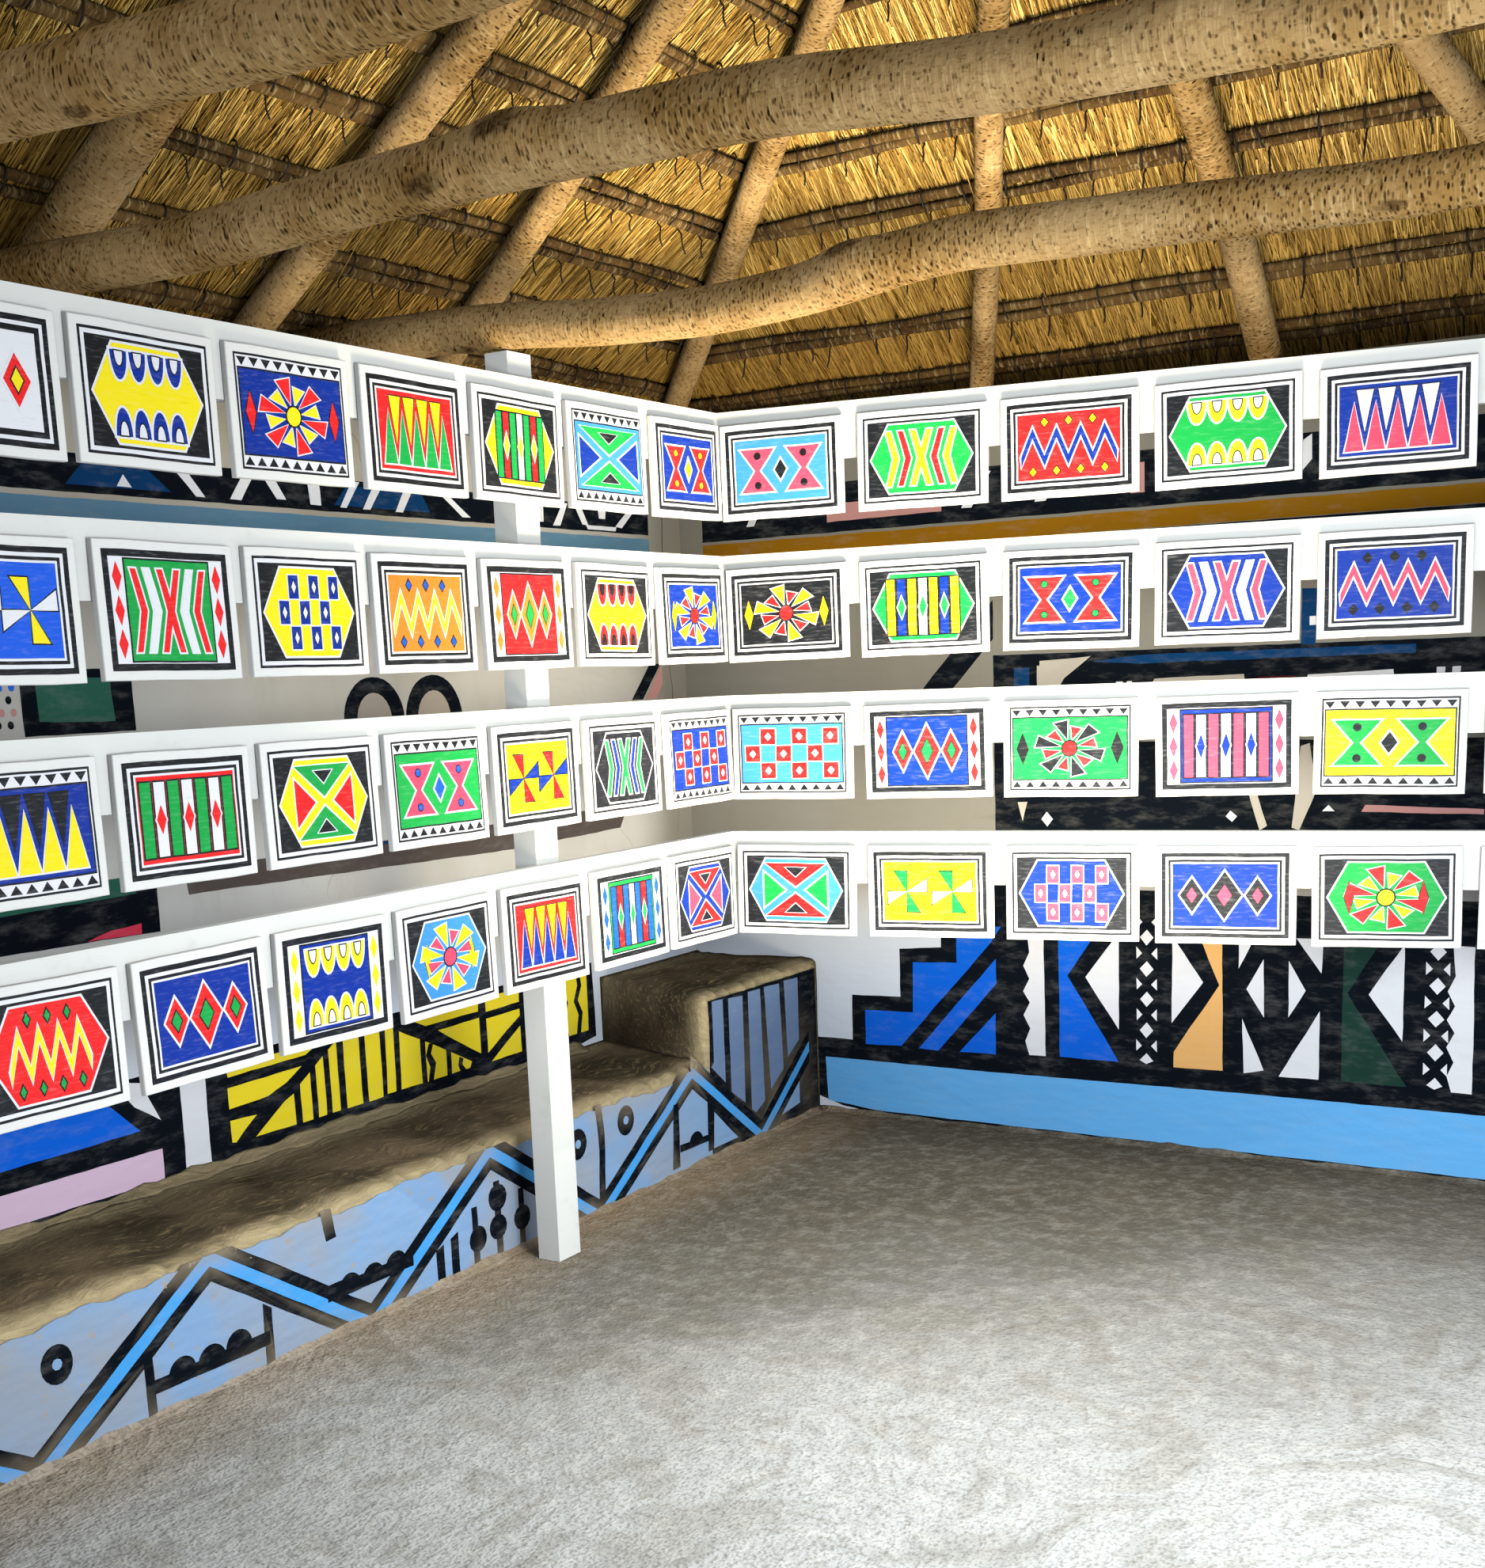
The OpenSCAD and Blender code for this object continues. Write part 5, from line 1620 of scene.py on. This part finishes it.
class Board:
    """One hung board's face: its field and its figures, drawn from the field's middle. A figure's
    sizes are shares of a and b, half the field's width and height."""

    def __init__(self, sheet, width, height, inks):
        self.sheet, self.width, self.height = sheet, width, height
        self.ground, self.ink, self.spot = (INKS[c] for c in inks)

    def blob(self, tint, corners, layer=5, rim="white", thick=0.005):
        """A figure with a rim of another tint round it."""
        self.sheet.shape(rim, grow(corners, thick), layer)
        self.sheet.shape(tint, corners_of(corners), layer + 1)

    def dark(self, tint, corners, layer=5, thick=0.003):
        """A figure with a thin black rim."""
        self.blob(tint, corners, layer, "black", thick)

    def box(self, a, b, x=0.0, y=0.0):
        return (x - a, y - b, x + a, y - b, x + a, y + b, x - a, y + b)

    def lozenge(self, x, y, a, b):
        return (x - a, y, x, y - b, x + a, y, x, y + b)

    def frame(self, style):
        """The painted border: 0 is plain, 1 has teeth above and below, 2 has a six-sided field
        and 3 has lozenges at the sides. Returns half the width and half the height of the
        field."""
        w, h = self.width / 2 - 0.02, self.height / 2 - 0.02
        self.sheet.shape("black", self.box(w, h), 1)
        if style == 0:
            self.sheet.shape("white", self.box(w - 0.012, h - 0.012), 2)
            self.sheet.shape("black", self.box(w - 0.02, h - 0.02), 3)
            a, b = w - 0.026, h - 0.026
            self.blob(self.ground, self.box(a - 0.006, b - 0.006), 3)
            return a - 0.01, b - 0.01
        if style == 1:
            self.sheet.shape("white", self.box(w - 0.005, h - 0.005), 2)
            for x in np.linspace(-w + 0.022, w - 0.022, 9):
                for side in (-1, 1):
                    tip, base = side * (h - 0.028), side * (h - 0.009)
                    self.sheet.shape("black", (x - 0.014, base, x + 0.014, base, x, tip), 3)
            a, b = w - 0.012, h - 0.034
            self.dark(self.ground, self.box(a, b), 3, 0.004)
            return a - 0.005, b - 0.004
        if style == 2:
            self.sheet.shape("white", self.box(w - 0.006, h - 0.006), 2)
            self.sheet.shape("black", self.box(w - 0.015, h - 0.015), 3)
            a, b, c = w - 0.026, h - 0.026, 0.055
            self.blob(self.ground, (-a, 0, -a + c, -b, a - c, -b, a, 0, a - c, b, -a + c, b), 3)
            return a - 0.04, b - 0.006
        self.sheet.shape("white", self.box(w - 0.015, h - 0.015), 2)
        a, b = w - 0.021, h - 0.021
        self.dark(self.ground, self.box(a - 0.034, b), 3, 0.004)
        for side in (-1, 1):
            for y in (-0.66 * b, 0, 0.66 * b):
                x = side * (a - 0.012)
                self.sheet.shape(self.ink, self.lozenge(x, y, 0.012, 0.3 * b), 3)
        return a - 0.04, b - 0.004

    def hourglasses(self, a, b):
        for x in (-0.52 * a, 0.52 * a):
            w, n = 0.38 * a, 0.05 * a
            self.blob(self.ink, (x - w, -0.72 * b, x + w, -0.72 * b, x + n, 0, x + w, 0.72 * b,
                                 x - w, 0.72 * b, x - n, 0))
            for y in (-0.5 * b, 0.5 * b):
                self.dark(self.spot, arc(x, y, 0.1 * b, 0.1 * b, count=10), 7)
        self.blob(self.spot, self.lozenge(0, 0, 0.13 * a, 0.34 * b))

    def lozenges(self, a, b):
        for x, k in ((-0.64 * a, 0.8), (0, 1.1), (0.64 * a, 0.8)):
            self.blob(self.ink, self.lozenge(x, 0, 0.3 * a * k, 0.72 * b * k))
            self.dark(self.spot, self.lozenge(x, 0, 0.13 * a * k, 0.32 * b * k), 7)

    def chevrons(self, a, b):
        for s in (-a, a):
            for k, tint in ((0.95, self.ink), (0.62, self.spot), (0.29, self.ink)):
                x, y = s * k, 0.86 * b
                bent = (x, y, x - 0.14 * s, y, x - 0.36 * s, 0, x - 0.14 * s, -y, x, -y,
                        x - 0.2 * s, 0)
                self.blob(tint, bent, thick=0.004)

    def zigzag(self, a, b):
        x = np.linspace(-0.96 * a, 0.96 * a, 9)
        y = np.where(np.arange(9) % 2, 0.45, -0.45) * b
        low, high = np.stack([x, y - 0.17 * b], 1), np.stack([x, y + 0.17 * b], 1)
        self.blob(self.ink, np.concatenate([low, high[::-1]]))
        for i in range(1, 8):
            y0 = (-0.78 if i % 2 else 0.78) * b
            self.dark(self.spot, self.lozenge(x[i], y0, 0.07 * a, 0.14 * b))

    def quarters(self, a, b):
        for s in (-1, 1):
            self.blob(self.ink, (-0.9 * a, s * 0.92 * b, 0.9 * a, s * 0.92 * b, 0, s * 0.12 * b))
            self.blob(self.spot, (s * 0.93 * a, -0.6 * b, s * 0.93 * a, 0.6 * b, s * 0.3 * a, 0))
            inner = (-0.3 * a, s * 0.78 * b, 0.3 * a, s * 0.78 * b, 0, s * 0.46 * b)
            self.blob("black", inner, 7, thick=0.003)

    def bars(self, a, b):
        tints = (self.ink, self.spot, self.ink, "white", self.ink, self.spot, self.ink)
        for i, tint in enumerate(tints):
            x = (-0.87 + 0.29 * i) * a
            self.dark(tint, self.box(0.11 * a, 0.9 * b, x), thick=0.004)
        for x in (-0.58 * a, 0.0, 0.58 * a):
            self.blob(self.ground, self.lozenge(x, 0, 0.1 * a, 0.36 * b), 7, thick=0.004)

    def sun(self, a, b):
        for k in range(12):
            turn = np.radians([30 * k + 15, 30 * k + 3, 30 * k + 27])
            far = 0.96 if k % 2 else 0.74
            reach = np.array([[0.3, far * 1.25, far * 1.25], [0.3, far, far]]) * b
            ray = (np.array([np.cos(turn), np.sin(turn)]) * reach).T
            self.blob(self.spot if k % 2 else self.ink, ray, thick=0.003)
        self.dark(self.ink, arc(0, 0, 0.24 * b, 0.24 * b, count=14), 7, 0.004)
        for side in (-1, 1):
            self.dark(self.spot, self.lozenge(side * 0.86 * a, 0, 0.1 * a, 0.5 * b))

    def checks(self, a, b):
        for i in range(6):
            for j in range(3):
                if (i + j) % 2:
                    x, y = (-0.8 + 0.32 * i) * a, (-0.62 + 0.62 * j) * b
                    self.blob(self.ink, self.box(0.15 * a, 0.28 * b, x, y), thick=0.003)
                    self.dark(self.spot, self.lozenge(x, y, 0.07 * a, 0.15 * b), 7, 0.002)

    def scallops(self, a, b):
        for s, start in ((-1, 0), (1, 180)):
            for i in range(4):
                x, end = (-0.72 + 0.48 * i) * a, start + 180
                self.blob(self.ink, arc(x, s * 0.92 * b, 0.21 * a, 0.62 * b, start, end, 12))
                self.dark(self.spot, arc(x, s * 0.9 * b, 0.1 * a, 0.3 * b, start, end, 9), 7)

    def pinwheels(self, a, b):
        for x in (-0.5 * a, 0.5 * a):
            r = 0.72 * b
            for k in range(4):
                c, s = ((1, 0), (0, 1), (-1, 0), (0, -1))[k]
                sail = corners_of((0, 0, r, 0, r, 0.62 * r)) @ np.array([[c, s], [-s, c]])
                self.dark(self.ink if k % 2 else self.spot, sail + (x, 0))

    def teeth(self, a, b):
        for i in range(5):
            x = (-0.76 + 0.38 * i) * a
            tooth = (x - 0.17 * a, -0.9 * b, x + 0.17 * a, -0.9 * b, x, 0.55 * b)
            self.blob(self.ink, tooth, thick=0.004)
        for i in range(4):
            x = (-0.57 + 0.38 * i) * a
            self.dark(self.spot, (x - 0.15 * a, 0.9 * b, x + 0.15 * a, 0.9 * b, x, -0.35 * b))


class HUT_OT_panels(HutOperator, bpy.types.Operator):
    """Canvas boards on the rack, each with a painted border and field. Each strays a little in its
    tilt, its lean and its place along the rail"""

    bl_idname = "hut.panels"
    bl_label = "Panels"

    lean = 0.01
    stray = (0.012, 0.012, 0.004)
    behind, below = 0.001, 0.002
    figures = ("hourglasses", "teeth", "lozenges", "chevrons", "quarters", "sun", "zigzag",
               "pinwheels", "bars", "scallops", "checks")

    def execute(self, context):
        rng = np.random.default_rng(31)
        look = canvas_look()
        corner = np.array([*sizes().rack_corner, 0.0])
        turn = sizes().rack_turn - math.pi / 2
        racks = (
            ("back", BACK_BOARDS, np.array([1.0, 0, 0]), -1, sizes().back_boards),
            ("end", END_BOARDS, np.array([math.cos(turn), math.sin(turn), 0]), 1,
             sizes().end_boards),
        )
        for side, lines, along, sense, (width, pitch) in racks:
            out = np.cross(along, UP)
            for row, line in enumerate(lines):
                sheet = Paint(0.0009, 0.06)
                codes = line.split()[::sense]
                top = sizes().board_top - row * sizes().rail_pitch
                for k, inks in enumerate(codes):
                    place = sizes().board_first + k * pitch + width / 2
                    tilt, lean, slip = rng.uniform(-1, 1, 3) * self.stray
                    lean += self.lean
                    right = along * math.cos(tilt) + UP * math.sin(tilt)
                    up = np.cross(out, right)
                    up = up * math.cos(lean) - out * math.sin(lean)
                    middle = (
                        corner + along * (sense * place + slip) + out * self.behind
                        + UP * (top - sizes().board_h / 2 - self.below)
                        + out * lean * sizes().board_h / 2
                    )
                    number = row * 5 + k * (3 if sense > 0 else 4)
                    self.board(sheet, middle, right, up, width, inks, number)
                node = f"{side}_{row + 1}"
                sheet.put(f"boards_{node}", look, "painted_canvas", [f"panels_{node}"])
        return {"FINISHED"}

    def board(self, sheet, middle, right, up, width, inks, number):
        """The stretched canvas with rounded edges, then its border and figures."""
        height, thick = sizes().board_h, sizes().board_t
        out = np.cross(right, up)
        sheet.plane(middle + out * thick, right, up)
        art = Board(sheet, width, height, inks)
        flat = wobble(drawn(corners_of(art.box(width / 2, height / 2)), 0.08), 0.0012)
        profile = (
            (0.992, -thick), (1, 0.002 - thick), (1, -0.0035), (0.994, -0.001), (0.982, 0.0)
        )
        sheet.plate("canvas", flat, profile)
        a, b = art.frame((number * 7 + number // 3) % 4)
        getattr(art, self.figures[number % len(self.figures)])(a, b)


def lamp(name, kind, energy, place, target, size=(1.0, 1.0), tint=(1.0, 1.0, 1.0)):
    """A lamp at a place, turned to its target."""
    data = bpy.data.lights.new(name, kind)
    data.energy = energy
    data.color = tint
    if kind == "AREA":
        data.shape = "RECTANGLE"
        data.size, data.size_y = size
    made = bpy.data.objects.new(name, data)
    made.location = place
    aim = Vector(target) - Vector(place)
    made.rotation_euler = aim.to_track_quat("-Z", "Y").to_euler()
    made.visible_camera = False
    bpy.context.scene.collection.objects.link(made)
    return made


class HUT_OT_stage(HutOperator, bpy.types.Operator):
    """The ground under the hut, the lamps, the world and the camera"""

    bl_idname = "hut.stage"
    bl_label = "Stage"

    reach = 40.0
    ground = -0.002
    lens = 40.36
    sensor = 36.0
    shift = 0.126

    eye: bpy.props.FloatVectorProperty(
        name="Eye", description="Where the camera stands", default=(-2.42, -1.62, 1.78),
        subtype="XYZ",
    )
    heading: degrees("Heading", "Turn of the view from +X towards +Y", 32.29)
    pitch: degrees("Pitch", "Tilt of the view above the horizon", -10.1)
    roll: degrees("Roll", "Turn of the picture", -2.19)

    def execute(self, context):
        scene = context.scene
        look = Look("stage_ground", 0.9, shade=rgb("e4e3e0"))
        look.tint(look.noise(look.place(), 0.5), rgb("dddcd8"))
        mesh = bpy.data.meshes.new("stage_floor")
        signs = ((-1, -1), (1, -1), (1, 1), (-1, 1))
        corners = [(x * self.reach, y * self.reach, self.ground) for x, y in signs]
        mesh.from_pydata(corners, [], [(0, 1, 2, 3)])
        mesh.materials.append(look.finish())
        floor = bpy.data.objects.new("stage_floor", mesh)
        scene.collection.objects.link(floor)
        self.light(scene)
        self.aim(scene)
        scene.view_settings.view_transform = "Standard"
        scene.cycles.use_fast_gi = True
        scene.cycles.ao_bounces_render = 1
        return {"FINISHED"}

    def light(self, scene):
        world = bpy.data.worlds.new("pale_sky")
        world.use_nodes = True
        scene.world = world
        tree = world.node_tree
        back = tree.nodes["Background"]
        back.inputs["Color"].default_value = rgb("f1f3f5")
        seen = tree.nodes.new("ShaderNodeLightPath").outputs["Is Camera Ray"]
        level = tree.nodes.new("ShaderNodeMapRange")
        level.inputs["To Min"].default_value = 0.75
        tree.links.new(seen, level.inputs["Value"])
        tree.links.new(level.outputs[0], back.inputs["Strength"])
        world.light_settings.distance = 0.6
        world.light_settings.ao_factor = 0.55
        lamp("sun", "SUN", 2.2, (-6, -9, 12), (0, 0, 0)).data.angle = 0.5
        day = (0.90, 0.96, 1.0)
        lamp("doorway_light", "AREA", 106, (0.0, -1.75, 1.45), (2.7, 1.1, 0.5), (1.2, 1.1), day)
        lamp("room_fill", "AREA", 30, (-2.7, -1.6, 1.4), (2.0, 1.2, 0.8), (1.2, 1.4), day)
        gold = (1.0, 0.88, 0.64)
        up = lamp("floor_bounce", "AREA", 92, (1.6, -0.1, 0.4), (2.8, 1.4, 2.8), (1.4, 0.8), gold)
        up.data.spread = math.radians(90)
        soft = (1.0, 0.98, 0.92)
        down = lamp("floor_light", "AREA", 45, (1.2, 0.0, 2.4), (1.3, 0.1, 0.0), (1.4, 1.4), soft)
        down.data.spread = math.radians(115)

    def aim(self, scene):
        forward = Vector((math.cos(self.heading), math.sin(self.heading), 0))
        right = Vector((math.sin(self.heading), -math.cos(self.heading), 0))
        up = Vector((0, 0, 1))
        ahead = forward * math.cos(self.pitch) + up * math.sin(self.pitch)
        over = up * math.cos(self.pitch) - forward * math.sin(self.pitch)
        across = right * math.cos(self.roll) + over * math.sin(self.roll)
        over = over * math.cos(self.roll) - right * math.sin(self.roll)
        data = bpy.data.cameras.new("eye_level")
        data.lens = self.lens
        data.sensor_width = self.sensor
        data.shift_y = self.shift
        data.clip_start, data.clip_end = 0.05, 200.0
        made = bpy.data.objects.new("eye_level", data)
        turn = Matrix((across, over, -ahead)).transposed().to_4x4()
        made.matrix_world = Matrix.Translation(self.eye) @ turn
        scene.collection.objects.link(made)
        scene.camera = made


OPERATORS = (
    HUT_OT_walls, HUT_OT_floor, HUT_OT_murals, HUT_OT_bench, HUT_OT_tie_poles, HUT_OT_rafters,
    HUT_OT_laths, HUT_OT_thatch, HUT_OT_rack, HUT_OT_panels, HUT_OT_stage,
)


class HUT_PT_sidebar(bpy.types.Panel):
    """The hut's sizes, colours and pieces"""

    bl_idname = "HUT_PT_sidebar"
    bl_label = "Thatched mud hut"
    bl_space_type = "VIEW_3D"
    bl_region_type = "UI"
    bl_category = "Hut"

    def draw(self, context):
        for group in (context.scene.hut_sizes, context.scene.hut_colours):
            for key in group.__annotations__:
                self.layout.prop(group, key)
        for operator in OPERATORS:
            self.layout.operator(operator.bl_idname)


CLASSES = (HutSizes, HutColours, *OPERATORS, HUT_PT_sidebar)


def register():
    for cls in CLASSES:
        bpy.utils.register_class(cls)
    bpy.types.Scene.hut_sizes = bpy.props.PointerProperty(type=HutSizes)
    bpy.types.Scene.hut_colours = bpy.props.PointerProperty(type=HutColours)


def unregister():
    del bpy.types.Scene.hut_sizes
    del bpy.types.Scene.hut_colours
    for cls in reversed(CLASSES):
        bpy.utils.unregister_class(cls)


def main():
    register()
    for operator in OPERATORS:
        group, name = operator.bl_idname.split(".")
        getattr(getattr(bpy.ops, group), name)()


if __name__ == "__main__":
    main()
